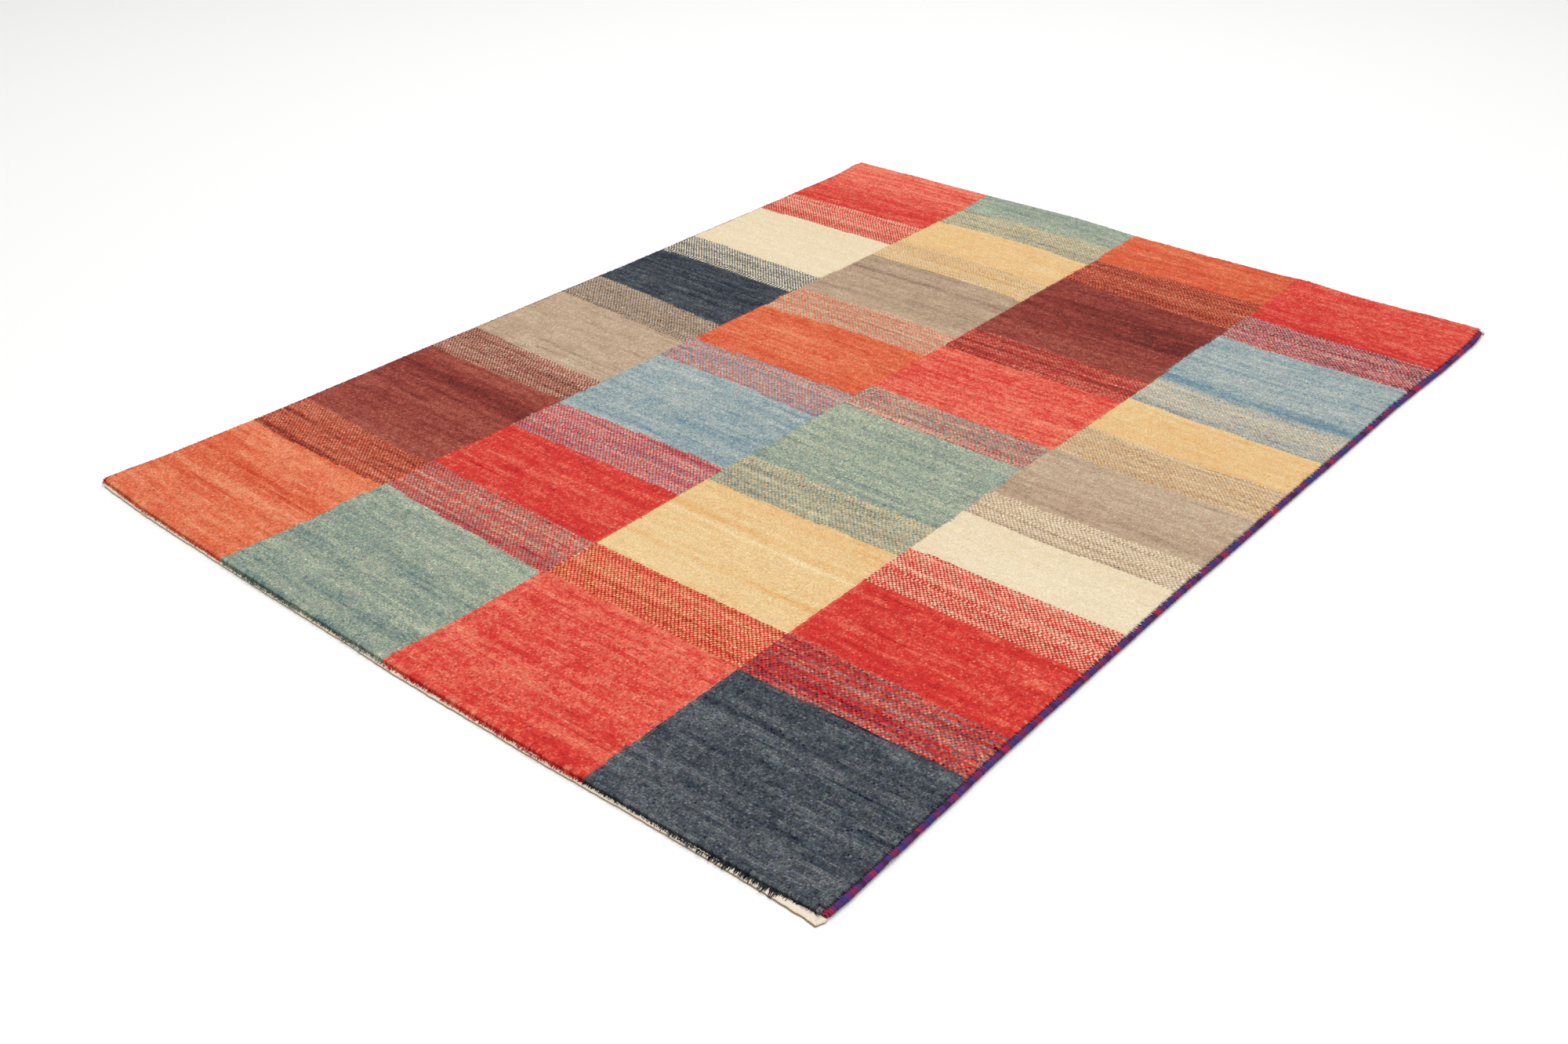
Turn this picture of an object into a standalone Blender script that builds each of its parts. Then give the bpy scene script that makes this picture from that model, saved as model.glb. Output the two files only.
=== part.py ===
"""A hand-knotted wool rug, laid flat on the floor.

Metres, +Z up. The origin is on the floor, in the middle of the rug's box. +X runs across the rug
and +Y from its near end to its far end.

The rug is three pieces. The knotted cloth is one solid: a cotton ground, the wool pile that stands
on it, and a narrow cotton hem at each short end. An overcast wool cord runs along each long side.
"""

import math
from collections import namedtuple

import bmesh
import bpy

# Overall sizes, over the overcast cords and over the hems
RUG_WIDTH = 1.5185
RUG_LENGTH = 2.0311
RUG_THICKNESS = 0.011

# The hem, which stands out past the pile at each short end
HEM_HEIGHT = 0.0042
HEM_ROUNDING = 0.0011

# The pile's edge: its foot on the ground, how far it leans out, and its rounded top
PILE_FOOT = 0.0009
PILE_LEAN = 0.0004
PILE_ROUNDING = 0.0030

# The overcast cord along each long side
CORD_WIDTH = 0.0092
CORD_HEIGHT = 0.0088
CORD_CLEARANCE = 0.0003
CORD_SIDES = 10
CORD_RINGS_A_CELL = 2
CORD_FLATTENED = 0.08
CORD_THINNING = 0.10
CORD_TUCK = 0.003

# The grid of the cloth, which is finer towards its edges, and how uneven its top is
CELLS_ACROSS = 30
CELLS_ALONG = 42
CROWDING = 0.72
TOP_WAVE = 0.00035

# Slow waves, in radians a metre: those of the pile's top, and those that thin a cord in places
Wave = namedtuple("Wave", "across along phase")
TOP_WAVES = (Wave(7.3, 2.1, 0.0), Wave(-5.9, 4.7, 1.3))
CORD_WAVES = (Wave(1.3, 31.0, 0.0), Wave(0.0, 17.0, 1.6))

# How far each long side lies in from the straight edge of the box, from the near end to the far
# end. The rug is narrower at the waist, where the weft pulls the warps together.
Side = namedtuple("Side", "along left_in right_in")
SIDES = (
    Side(0.00, 0.0005, 0.0012),
    Side(0.02, 0.0028, 0.0000),
    Side(0.04, 0.0070, 0.0012),
    Side(0.06, 0.0092, 0.0022),
    Side(0.11, 0.0112, 0.0045),
    Side(0.17, 0.0134, 0.0084),
    Side(0.24, 0.0136, 0.0100),
    Side(0.32, 0.0122, 0.0112),
    Side(0.41, 0.0145, 0.0130),
    Side(0.50, 0.0147, 0.0112),
    Side(0.60, 0.0158, 0.0115),
    Side(0.70, 0.0148, 0.0098),
    Side(0.80, 0.0133, 0.0100),
    Side(0.85, 0.0116, 0.0068),
    Side(0.90, 0.0108, 0.0030),
    Side(0.945, 0.0104, 0.0028),
    Side(0.972, 0.0060, 0.0020),
    Side(0.987, 0.0002, 0.0045),
    Side(1.00, 0.0015, 0.0085),
)

# From left to right: how far each short end of the pile lies in from the end of the box, how far
# its hem stands out past the pile there, and how far the far end lifts off the floor.
End = namedtuple("End", "across near_in near_hem far_in far_hem far_lift")
ENDS = (
    End(0.00, 0.0205, 0.0040, 0.0180, 0.0014, 0.0016),
    End(0.02, 0.0195, 0.0062, 0.0180, 0.0015, 0.0014),
    End(0.045, 0.0170, 0.0054, 0.0172, 0.0016, 0.0012),
    End(0.10, 0.0125, 0.0048, 0.0120, 0.0018, 0.0004),
    End(0.17, 0.0103, 0.0043, 0.0125, 0.0020, 0.0006),
    End(0.24, 0.0084, 0.0040, 0.0108, 0.0020, 0.0008),
    End(0.30, 0.0076, 0.0042, 0.0088, 0.0020, 0.0012),
    End(0.37, 0.0073, 0.0044, 0.0026, 0.0020, 0.0016),
    End(0.44, 0.0071, 0.0046, 0.0055, 0.0020, 0.0008),
    End(0.52, 0.0065, 0.0062, 0.0124, 0.0020, 0.0000),
    End(0.58, 0.0071, 0.0058, 0.0126, 0.0020, 0.0002),
    End(0.65, 0.0085, 0.0052, 0.0108, 0.0020, 0.0004),
    End(0.71, 0.0097, 0.0052, 0.0105, 0.0020, 0.0008),
    End(0.77, 0.0123, 0.0048, 0.0040, 0.0020, 0.0012),
    End(0.84, 0.0158, 0.0054, 0.0122, 0.0018, 0.0000),
    End(0.90, 0.0192, 0.0064, 0.0106, 0.0018, 0.0004),
    End(0.94, 0.0211, 0.0070, 0.0078, 0.0018, 0.0008),
    End(0.97, 0.0243, 0.0104, 0.0092, 0.0016, 0.0014),
    End(1.00, 0.0255, 0.0050, 0.0076, 0.0014, 0.0018),
)
LIFT_REACH = 0.16

# The rim's section from the floor up: its height, its share of the hem's reach, and how far it
# lies in from there
Level = namedtuple("Level", "height hem_share inset")
RIM_LEVELS = (
    Level(0.0, 1.0, HEM_ROUNDING),
    Level(HEM_ROUNDING, 1.0, 0.0),
    Level(HEM_HEIGHT - HEM_ROUNDING, 1.0, 0.0),
    Level(HEM_HEIGHT, 0.7, HEM_ROUNDING / 2),
    Level(HEM_HEIGHT + PILE_FOOT, 0.0, 0.0),
    Level(RUG_THICKNESS - PILE_ROUNDING, 0.0, -PILE_LEAN),
    Level(RUG_THICKNESS - PILE_ROUNDING / 4, 0.0, PILE_ROUNDING / 4),
    Level(RUG_THICKNESS, 0.0, PILE_ROUNDING),
)

# Finishes of the plain model
PILE_COLOUR = (0.42, 0.22, 0.14, 1.0)
CORD_COLOUR = (0.34, 0.03, 0.09, 1.0)
WOOL_ROUGHNESS = 0.9


def eased(rows, name, place):
    """The named column of a table at a place along its first column, level at each row."""
    for first, second in zip(rows, rows[1:]):
        if place <= second[0]:
            share = (place - first[0]) / (second[0] - first[0])
            share = share * share * (3.0 - 2.0 * share)
            return getattr(first, name) * (1.0 - share) + getattr(second, name) * share
    return getattr(rows[-1], name)


def stations(cells):
    """The grid's shares of a side, closer together towards its two ends."""
    even = [i / cells for i in range(cells + 1)]
    return [share - CROWDING * math.sin(2 * math.pi * share) / (2 * math.pi) for share in even]


ACROSS = stations(CELLS_ACROSS)
ALONG = stations(CELLS_ALONG)


def outer_edge(side, along):
    """Where the outer face of the left cord (side -1) or of the right one (side 1) runs."""
    drawn_in = eased(SIDES, "left_in" if side < 0 else "right_in", along)
    return side * (RUG_WIDTH / 2 - drawn_in)


def cloth_edge(side, along):
    """Where the cloth ends beside that cord."""
    return outer_edge(side, along) - side * (CORD_WIDTH + CORD_CLEARANCE)


def cloth_point(across, along):
    """The place on the floor of a point of the pile, by its shares of the width and the length."""
    left = cloth_edge(-1, along)
    right = cloth_edge(1, along)
    near = -RUG_LENGTH / 2 + eased(ENDS, "near_in", across)
    far = RUG_LENGTH / 2 - eased(ENDS, "far_in", across)
    return left + (right - left) * across, near + (far - near) * along


def far_lift(across, y):
    """How far the cloth stands off the floor near its far end."""
    share = max(0.0, 1.0 - (RUG_LENGTH / 2 - y) / LIFT_REACH)
    return eased(ENDS, "far_lift", across) * share * share


def wave_at(wave, x, y):
    return math.sin(wave.across * x + wave.along * y + wave.phase)


def top_height(x, y):
    """The slowly uneven top of a hand-woven pile that lies flat."""
    return RUG_THICKNESS + TOP_WAVE * sum(wave_at(wave, x, y) for wave in TOP_WAVES)


def rim_cells():
    """The grid points round the rim, anticlockwise from above."""
    near = [(i, 0) for i in range(CELLS_ACROSS)]
    right = [(CELLS_ACROSS, j) for j in range(CELLS_ALONG)]
    far = [(i, CELLS_ALONG) for i in range(CELLS_ACROSS, 0, -1)]
    left = [(0, j) for j in range(CELLS_ALONG, 0, -1)]
    return near + right + far + left


def hem_reach(i, j):
    """How far the hem stands out past the pile at a grid point of the rim."""
    if j == 0:
        return eased(ENDS, "near_hem", ACROSS[i])
    if j == CELLS_ALONG:
        return eased(ENDS, "far_hem", ACROSS[i])
    return 0.0


def rim_point(i, j, level):
    """The rim's point at one of its levels. Only the short ends lean out and have a hem."""
    x, y = cloth_point(ACROSS[i], ALONG[j])
    out_x = (i == CELLS_ACROSS) - (i == 0)
    out_y = (j == CELLS_ALONG) - (j == 0)
    x -= out_x * max(0.0, level.inset)
    y += out_y * (hem_reach(i, j) * level.hem_share - level.inset)
    return x, y, level.height + far_lift(ACROSS[i], y)


def add_grid(bm, rim, height, facing_up):
    """Fills a rim with a grid of four-sided faces, whose outermost points are the rim itself."""
    grid = dict(zip(rim_cells(), rim))
    for j in range(1, CELLS_ALONG):
        for i in range(1, CELLS_ACROSS):
            x, y = cloth_point(ACROSS[i], ALONG[j])
            grid[i, j] = bm.verts.new((x, y, height(x, y) + far_lift(ACROSS[i], y)))
    for j in range(CELLS_ALONG):
        for i in range(CELLS_ACROSS):
            corners = [grid[i, j], grid[i + 1, j], grid[i + 1, j + 1], grid[i, j + 1]]
            bm.faces.new(corners if facing_up else corners[::-1])


def join_loops(bm, lower, upper):
    """A band of faces between two closed loops of as many points."""
    for i in range(len(lower)):
        j = (i + 1) % len(lower)
        bm.faces.new((lower[i], lower[j], upper[j], upper[i]))


def build_cloth():
    """The knotted cloth as one closed body: a stack of rims with a grid over and under it."""
    bm = bmesh.new()
    rims = []
    for level in RIM_LEVELS:
        rims.append([bm.verts.new(rim_point(i, j, level)) for i, j in rim_cells()])
    for lower, upper in zip(rims, rims[1:]):
        join_loops(bm, lower, upper)
    add_grid(bm, rims[-1], top_height, facing_up=True)
    add_grid(bm, rims[0], lambda x, y: 0.0, facing_up=False)
    return bm


def cord_line(side):
    """The places of the cord's rings: each cell of the cloth's own edge, cut into equal steps."""
    across = 0.0 if side < 0 else 1.0
    edge = []
    for along in ALONG:
        y = cloth_point(across, along)[1]
        edge.append((outer_edge(side, along) - side * CORD_WIDTH / 2, y))
    points = []
    for (x0, y0), (x1, y1) in zip(edge, edge[1:]):
        for step in range(CORD_RINGS_A_CELL):
            share = step / CORD_RINGS_A_CELL
            points.append((x0 + (x1 - x0) * share, y0 + (y1 - y0) * share))
    points.append(edge[-1])
    points[0] = (points[0][0], points[0][1] + CORD_TUCK)
    points[-1] = (points[-1][0], points[-1][1] - CORD_TUCK)
    return points


def cord_ring(x, y, side):
    """One ring of the cord: an oval that the floor flattens, a little thinner in some places."""
    across = 0.0 if side < 0 else 1.0
    first, second = (wave_at(wave, x, y) for wave in CORD_WAVES)
    thinned = 1.0 - CORD_THINNING * (1.0 + first * second) / 2
    tall = CORD_HEIGHT * (1.0 + CORD_FLATTENED) / 2
    ring = []
    for k in range(CORD_SIDES):
        angle = 2 * math.pi * k / CORD_SIDES
        width = CORD_WIDTH / 2 * thinned * math.cos(angle)
        height = CORD_HEIGHT - tall + tall * math.sin(angle) / math.cos(math.pi / CORD_SIDES)
        ring.append((x + width, y, max(0.0, height * thinned) + far_lift(across, y)))
    return ring


def build_cord(side):
    """An overcast cord as one closed body, from the near end of the pile to its far end."""
    bm = bmesh.new()
    rings = []
    for x, y in cord_line(side):
        rings.append([bm.verts.new(point) for point in cord_ring(x, y, side)])
    for first, second in zip(rings, rings[1:]):
        join_loops(bm, first, second)
    bm.faces.new(rings[0])
    bm.faces.new(rings[-1])
    return bm


def wool(name, colour):
    material = bpy.data.materials.new(name)
    material.use_nodes = True
    shader = material.node_tree.nodes["Principled BSDF"]
    shader.inputs["Base Color"].default_value = colour
    shader.inputs["Roughness"].default_value = WOOL_ROUGHNESS
    shader.inputs["Metallic"].default_value = 0.0
    material.diffuse_color = colour
    return material


def add_piece(name, bm, material):
    """Turns a body's faces outwards and makes it an object of its own."""
    bmesh.ops.recalc_face_normals(bm, faces=bm.faces[:])
    mesh = bpy.data.meshes.new(name)
    bm.to_mesh(mesh)
    bm.free()
    mesh.shade_smooth()
    mesh.set_sharp_from_angle(angle=math.radians(40))
    mesh.materials.append(material)
    piece = bpy.data.objects.new(name, mesh)
    bpy.context.scene.collection.objects.link(piece)
    return piece


def main():
    for old in list(bpy.data.objects):
        bpy.data.objects.remove(old)
    add_piece("rug", build_cloth(), wool("pile_wool", PILE_COLOUR))
    add_piece("selvedge_left", build_cord(-1), wool("left_cord_wool", CORD_COLOUR))
    add_piece("selvedge_right", build_cord(1), wool("right_cord_wool", CORD_COLOUR))


main()
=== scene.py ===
# %% [markdown]
# A hand-knotted wool rug
#
# This rug is woven on a loom. Cotton warps run along it, wool is knotted round them row by row, and
# cotton weft is beaten down between the rows. The tips of the knots are then cut level, and they are
# the pile. Here the real thing is built in the same order: the ground, the knots and their dyes, the
# pile, the cotton ends, and the yarn wound round the long sides.

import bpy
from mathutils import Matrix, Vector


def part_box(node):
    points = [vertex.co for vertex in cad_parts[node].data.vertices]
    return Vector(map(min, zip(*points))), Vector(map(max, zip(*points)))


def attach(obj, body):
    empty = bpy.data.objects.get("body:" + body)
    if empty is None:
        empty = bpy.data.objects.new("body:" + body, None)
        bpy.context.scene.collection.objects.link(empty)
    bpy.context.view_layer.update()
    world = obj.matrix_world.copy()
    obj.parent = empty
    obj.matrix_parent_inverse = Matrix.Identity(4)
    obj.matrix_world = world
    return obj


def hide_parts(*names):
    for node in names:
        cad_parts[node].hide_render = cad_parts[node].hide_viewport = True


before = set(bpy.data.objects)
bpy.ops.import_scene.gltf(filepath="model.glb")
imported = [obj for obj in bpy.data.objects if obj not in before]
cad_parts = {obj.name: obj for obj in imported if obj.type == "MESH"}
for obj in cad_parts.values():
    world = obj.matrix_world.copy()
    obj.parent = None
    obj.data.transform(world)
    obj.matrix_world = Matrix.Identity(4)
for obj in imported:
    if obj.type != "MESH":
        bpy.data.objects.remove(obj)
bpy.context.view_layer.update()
print("nodes:", sorted(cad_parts))

# %% Modules and a few helpers
import math
from collections import namedtuple

import bpy
import numpy as np
from mathutils import Matrix, Vector
from mathutils.bvhtree import BVHTree

MM = 0.001
SEED = 11
chance = np.random.default_rng(SEED)


def add_object(name, data):
    """Puts a mesh, a lamp or a camera into the scene."""
    piece = bpy.data.objects.new(name, data)
    bpy.context.scene.collection.objects.link(piece)
    return piece


def screen_colour(red, green, blue):
    """A colour judged on a screen's 0 to 255 scale, as the linear colour of a shader."""
    share = np.array([red, green, blue]) / 255.0
    return np.where(share <= 0.04045, share / 12.92, ((share + 0.055) / 1.055) ** 2.4)


def add_node(tree, kind, inputs=None, **settings):
    """Adds a node, then fills its inputs, by name or number, with plain values or with links."""
    node = tree.nodes.new(kind)
    for key, value in settings.items():
        setattr(node, key, value)
    for key, value in (inputs or {}).items():
        if isinstance(value, bpy.types.NodeSocket):
            tree.links.new(value, node.inputs[key])
        else:
            node.inputs[key].default_value = value
    return node


def maths(tree, operation, first, second=0.0, third=0.0):
    """One step of arithmetic in a node tree."""
    inputs = {0: first, 1: second, 2: third}
    return add_node(tree, "ShaderNodeMath", inputs, operation=operation).outputs[0]


def vector_maths(tree, operation, *vectors):
    """One step of arithmetic on vectors in a node tree."""
    return add_node(tree, "ShaderNodeVectorMath", dict(enumerate(vectors)), operation=operation).outputs[0]


def scaled(tree, colour, gain):
    """A colour made lighter or darker."""
    return add_node(tree, "ShaderNodeVectorMath", {0: colour, 3: gain}, operation="SCALE").outputs[0]


def blended(tree, share, first, second):
    """A colour between two colours: the first at a share of 0, and the second at 1."""
    return add_node(tree, "ShaderNodeMix", {0: share, 6: first, 7: second}, data_type="RGBA").outputs[2]


def rows_of_three(x, y, z):
    """Points or directions from their three parts. A part that is one number is repeated."""
    return np.stack(np.broadcast_arrays(x, y, z), axis=-1)


# %% [markdown]
# The camera and the light come first, so that every later step can be looked at. The camera stands
# off the rug's near right corner, as in the photograph: its place and lens were worked out from the
# rug's four corners, which are right angles on the real thing. The light is soft and comes mostly from
# above and behind, which is why the rug's near edge is its darkest part.

# %% Camera
CAMERA_PLACE = (1.5685, -2.010, 1.324)
CAMERA_AIM = (0.1705, -0.373, 0.0)
CAMERA_ROLL = math.radians(-0.2)
LENS_MM = 37.2

camera_data = bpy.data.cameras.new("camera")
camera_data.lens = LENS_MM
camera = add_object("camera", camera_data)
sight = Vector(CAMERA_AIM) - Vector(CAMERA_PLACE)
turn = sight.to_track_quat("-Z", "Y").to_matrix().to_4x4() @ Matrix.Rotation(CAMERA_ROLL, 4, "Z")
camera.matrix_world = Matrix.Translation(CAMERA_PLACE) @ turn
bpy.context.scene.camera = camera
print("camera looks from", CAMERA_PLACE, "with a lens of", LENS_MM, "mm")

# %% Floor and light
FLOOR_HALF = 9.0
FLOOR_GAP = 0.2 * MM
FLOOR_CORNERS = ((-1, -1), (1, -1), (1, 1), (-1, 1))
FLOOR_COLOUR = (0.91, 0.91, 0.905, 1.0)
FLOOR_ROUGHNESS = 0.9
SKY_COLOUR = (1.0, 1.0, 1.0, 1.0)
SKY_STRENGTH = 0.60
Lamp = namedtuple("Lamp", "name place size power")
LAMPS = (
    Lamp("key", (-1.0, 1.7, 5.5), 3.4, 156.0),
    Lamp("fill", (1.9, -2.8, 4.4), 4.0, 80.0),
)

floor_mesh = bpy.data.meshes.new("floor")
floor_points = [(x * FLOOR_HALF, y * FLOOR_HALF, -FLOOR_GAP) for x, y in FLOOR_CORNERS]
floor_mesh.from_pydata(floor_points, [], [(0, 1, 2, 3)])
floor = add_object("floor", floor_mesh)

floor_paint = bpy.data.materials.new("floor_paint")
floor_paint.use_nodes = True
floor_shader = floor_paint.node_tree.nodes["Principled BSDF"].inputs
floor_shader["Base Color"].default_value = FLOOR_COLOUR
floor_shader["Roughness"].default_value = FLOOR_ROUGHNESS
floor_mesh.materials.append(floor_paint)

sky = bpy.data.worlds.new("sky")
sky.use_nodes = True
sky_light = sky.node_tree.nodes["Background"].inputs
sky_light["Color"].default_value = SKY_COLOUR
sky_light["Strength"].default_value = SKY_STRENGTH
bpy.context.scene.world = sky
bpy.context.scene.view_settings.view_transform = "Standard"

for lamp in LAMPS:
    light = bpy.data.lights.new(lamp.name, "AREA")
    light.size = lamp.size
    light.energy = lamp.power
    lamp_object = add_object(lamp.name, light)
    lamp_object.location = lamp.place
    lamp_object.rotation_euler = (-Vector(lamp.place)).to_track_quat("-Z", "Y").to_euler()
print("lights:", [lamp.name for lamp in LAMPS])

# %% [markdown]
# The cloth's outline is the CAD solid's own. A ray sent in from outside at the height of the pile
# touches the solid where the pile's edge is, and rays from above and below touch its top and its
# underside. A weave that is laid out between those edges narrows at the waist as the real warps do.

# %% Feel for the cloth's edges
PILE_HEIGHT = 7.4 * MM
HEM_HEIGHT = 2.4 * MM
FEEL_POINTS = 240
CORNER_KEPT = 30 * MM
FAR_AWAY = 3.0

cloth_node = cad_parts["rug"].data
cloth_tree = BVHTree.FromPolygons(
    [corner.co for corner in cloth_node.vertices], [face.vertices for face in cloth_node.polygons]
)
low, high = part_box("rug")
feel_x = np.linspace(low.x + CORNER_KEPT / 2, high.x - CORNER_KEPT / 2, FEEL_POINTS)
feel_y = np.linspace(low.y + CORNER_KEPT, high.y - CORNER_KEPT, FEEL_POINTS)


def touch(start, direction):
    """Where a ray meets the cloth, or None."""
    return cloth_tree.ray_cast(Vector(start), Vector(direction))[0]


def feel_side(sign, height):
    """The left edge (sign -1) or the right edge (sign 1) at a height, as x for each feel_y."""
    return np.array([touch((sign * FAR_AWAY, y, height), (-sign, 0, 0)).x for y in feel_y])


def feel_end(sign, height):
    """The near edge (sign -1) or the far edge (sign 1) at a height, as y for each feel_x."""
    return np.array([touch((x, sign * FAR_AWAY, height), (0, -sign, 0)).y for x in feel_x])


left_edge = feel_side(-1, PILE_HEIGHT)
right_edge = feel_side(1, PILE_HEIGHT)
near_edge = feel_end(-1, PILE_HEIGHT)
far_edge = feel_end(1, PILE_HEIGHT)
print("waist", round(float((right_edge - left_edge).min()), 4), "m wide")


# %% The weave's own coordinates
HEIGHT_POINTS = (61, 81)
RIM_WIDTH = 2.0 * MM


def weave_place(across, along, inset=RIM_WIDTH):
    """The place of a point of the cloth by its shares of the width and of the length."""
    y = low.y + (high.y - low.y) * along
    left = np.interp(y, feel_y, left_edge) + inset
    right = np.interp(y, feel_y, right_edge) - inset
    x = left + (right - left) * across
    near = np.interp(x, feel_x, near_edge) + inset
    far = np.interp(x, feel_x, far_edge) - inset
    return x, near + (far - near) * along


def felt_heights(start_z, down):
    """A grid of heights of the cloth's top or underside, read with upright rays."""
    columns, rows = HEIGHT_POINTS
    heights = np.zeros((rows, columns))
    for j in range(rows):
        for i in range(columns):
            x, y = weave_place(i / (columns - 1), j / (rows - 1), 2 * RIM_WIDTH)
            heights[j, i] = touch((x, y, start_z), (0, 0, down)).z
    return heights


def read_heights(heights, across, along):
    """Reads a grid of heights between its points."""
    rows, columns = heights.shape
    u = np.clip(across, 0.0, 1.0) * (columns - 1)
    v = np.clip(along, 0.0, 1.0) * (rows - 1)
    i = np.minimum(u.astype(int), columns - 2)
    j = np.minimum(v.astype(int), rows - 2)
    u = u - i
    v = v - j
    near_side = heights[j, i] * (1 - u) + heights[j, i + 1] * u
    far_side = heights[j + 1, i] * (1 - u) + heights[j + 1, i + 1] * u
    return near_side * (1 - v) + far_side * v


top_heights = felt_heights(FAR_AWAY, -1)
floor_heights = felt_heights(-FAR_AWAY, 1)
print("pile", round(float(top_heights.mean()) / MM, 2), "mm high on average")

# %% [markdown]
# The dyes. Hand-dyed wool is never one colour: each batch takes the dye a little differently, and the
# weaver meets those changes as fine bands along the weft, which is called abrash. So each dye has a
# deep, a plain and a pale form, and every knot's tone slides between them. A dye's grain says how much
# its single knots differ, and its fibre how much the fibres of one knot do: dark wool is lively, and
# undyed cream is nearly even.

# %% Dyes
Dye = namedtuple("Dye", "deep plain pale grain fibre")
DYES = {
    "orange": Dye((198, 74, 42), (215, 99, 64), (226, 134, 96), 0.9, 0.75),
    "maroon": Dye((106, 36, 30), (138, 54, 44), (164, 84, 70), 0.9, 0.85),
    "taupe": Dye((150, 126, 104), (183, 156, 130), (206, 184, 158), 0.6, 0.55),
    "slate": Dye((34, 41, 54), (64, 70, 77), (98, 102, 106), 0.95, 1.3),
    "cream": Dye((216, 194, 154), (229, 210, 177), (240, 227, 200), 0.35, 0.32),
    "red": Dye((184, 30, 32), (210, 56, 48), (231, 122, 98), 0.7, 0.7),
    "sage": Dye((112, 130, 124), (147, 157, 141), (176, 182, 157), 0.85, 1.0),
    "blue": Dye((122, 145, 154), (158, 169, 167), (186, 190, 182), 0.85, 0.85),
    "gold": Dye((220, 166, 102), (226, 190, 136), (236, 210, 162), 0.5, 0.45),
    "wine": Dye((140, 22, 28), (184, 44, 42), (216, 108, 94), 1.0, 0.9),
}
TONE_LIMIT = 1.5
DYE_TABLE = {name: [screen_colour(*form) for form in dye[:3]] for name, dye in DYES.items()}


def dyed(name, tone):
    """The colours of one dye over an array of tones: -1 is its deep form, 0 plain and 1 pale."""
    deep, plain, pale = DYE_TABLE[name]
    tone = np.clip(tone, -TONE_LIMIT, TONE_LIMIT)[..., None]
    return np.where(tone < 0, plain + (plain - deep) * tone, plain + (pale - plain) * tone)


print("dyes:", ", ".join(DYES))

# %% [markdown]
# The chart. The field is four columns of plain blocks. Between two blocks the weaver knots both dyes
# turn and turn about, so a band of mixed colour joins them. Each row below is one block or band from
# the near end to the far end: its dye, its partner's dye in a band, where it ends at its left and its
# right side, in metres from the near end, and its tone where it starts and where it ends. In a band the
# stronger dye's tips lie over its neighbour's, so the last number is the share that the partner shows.

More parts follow.
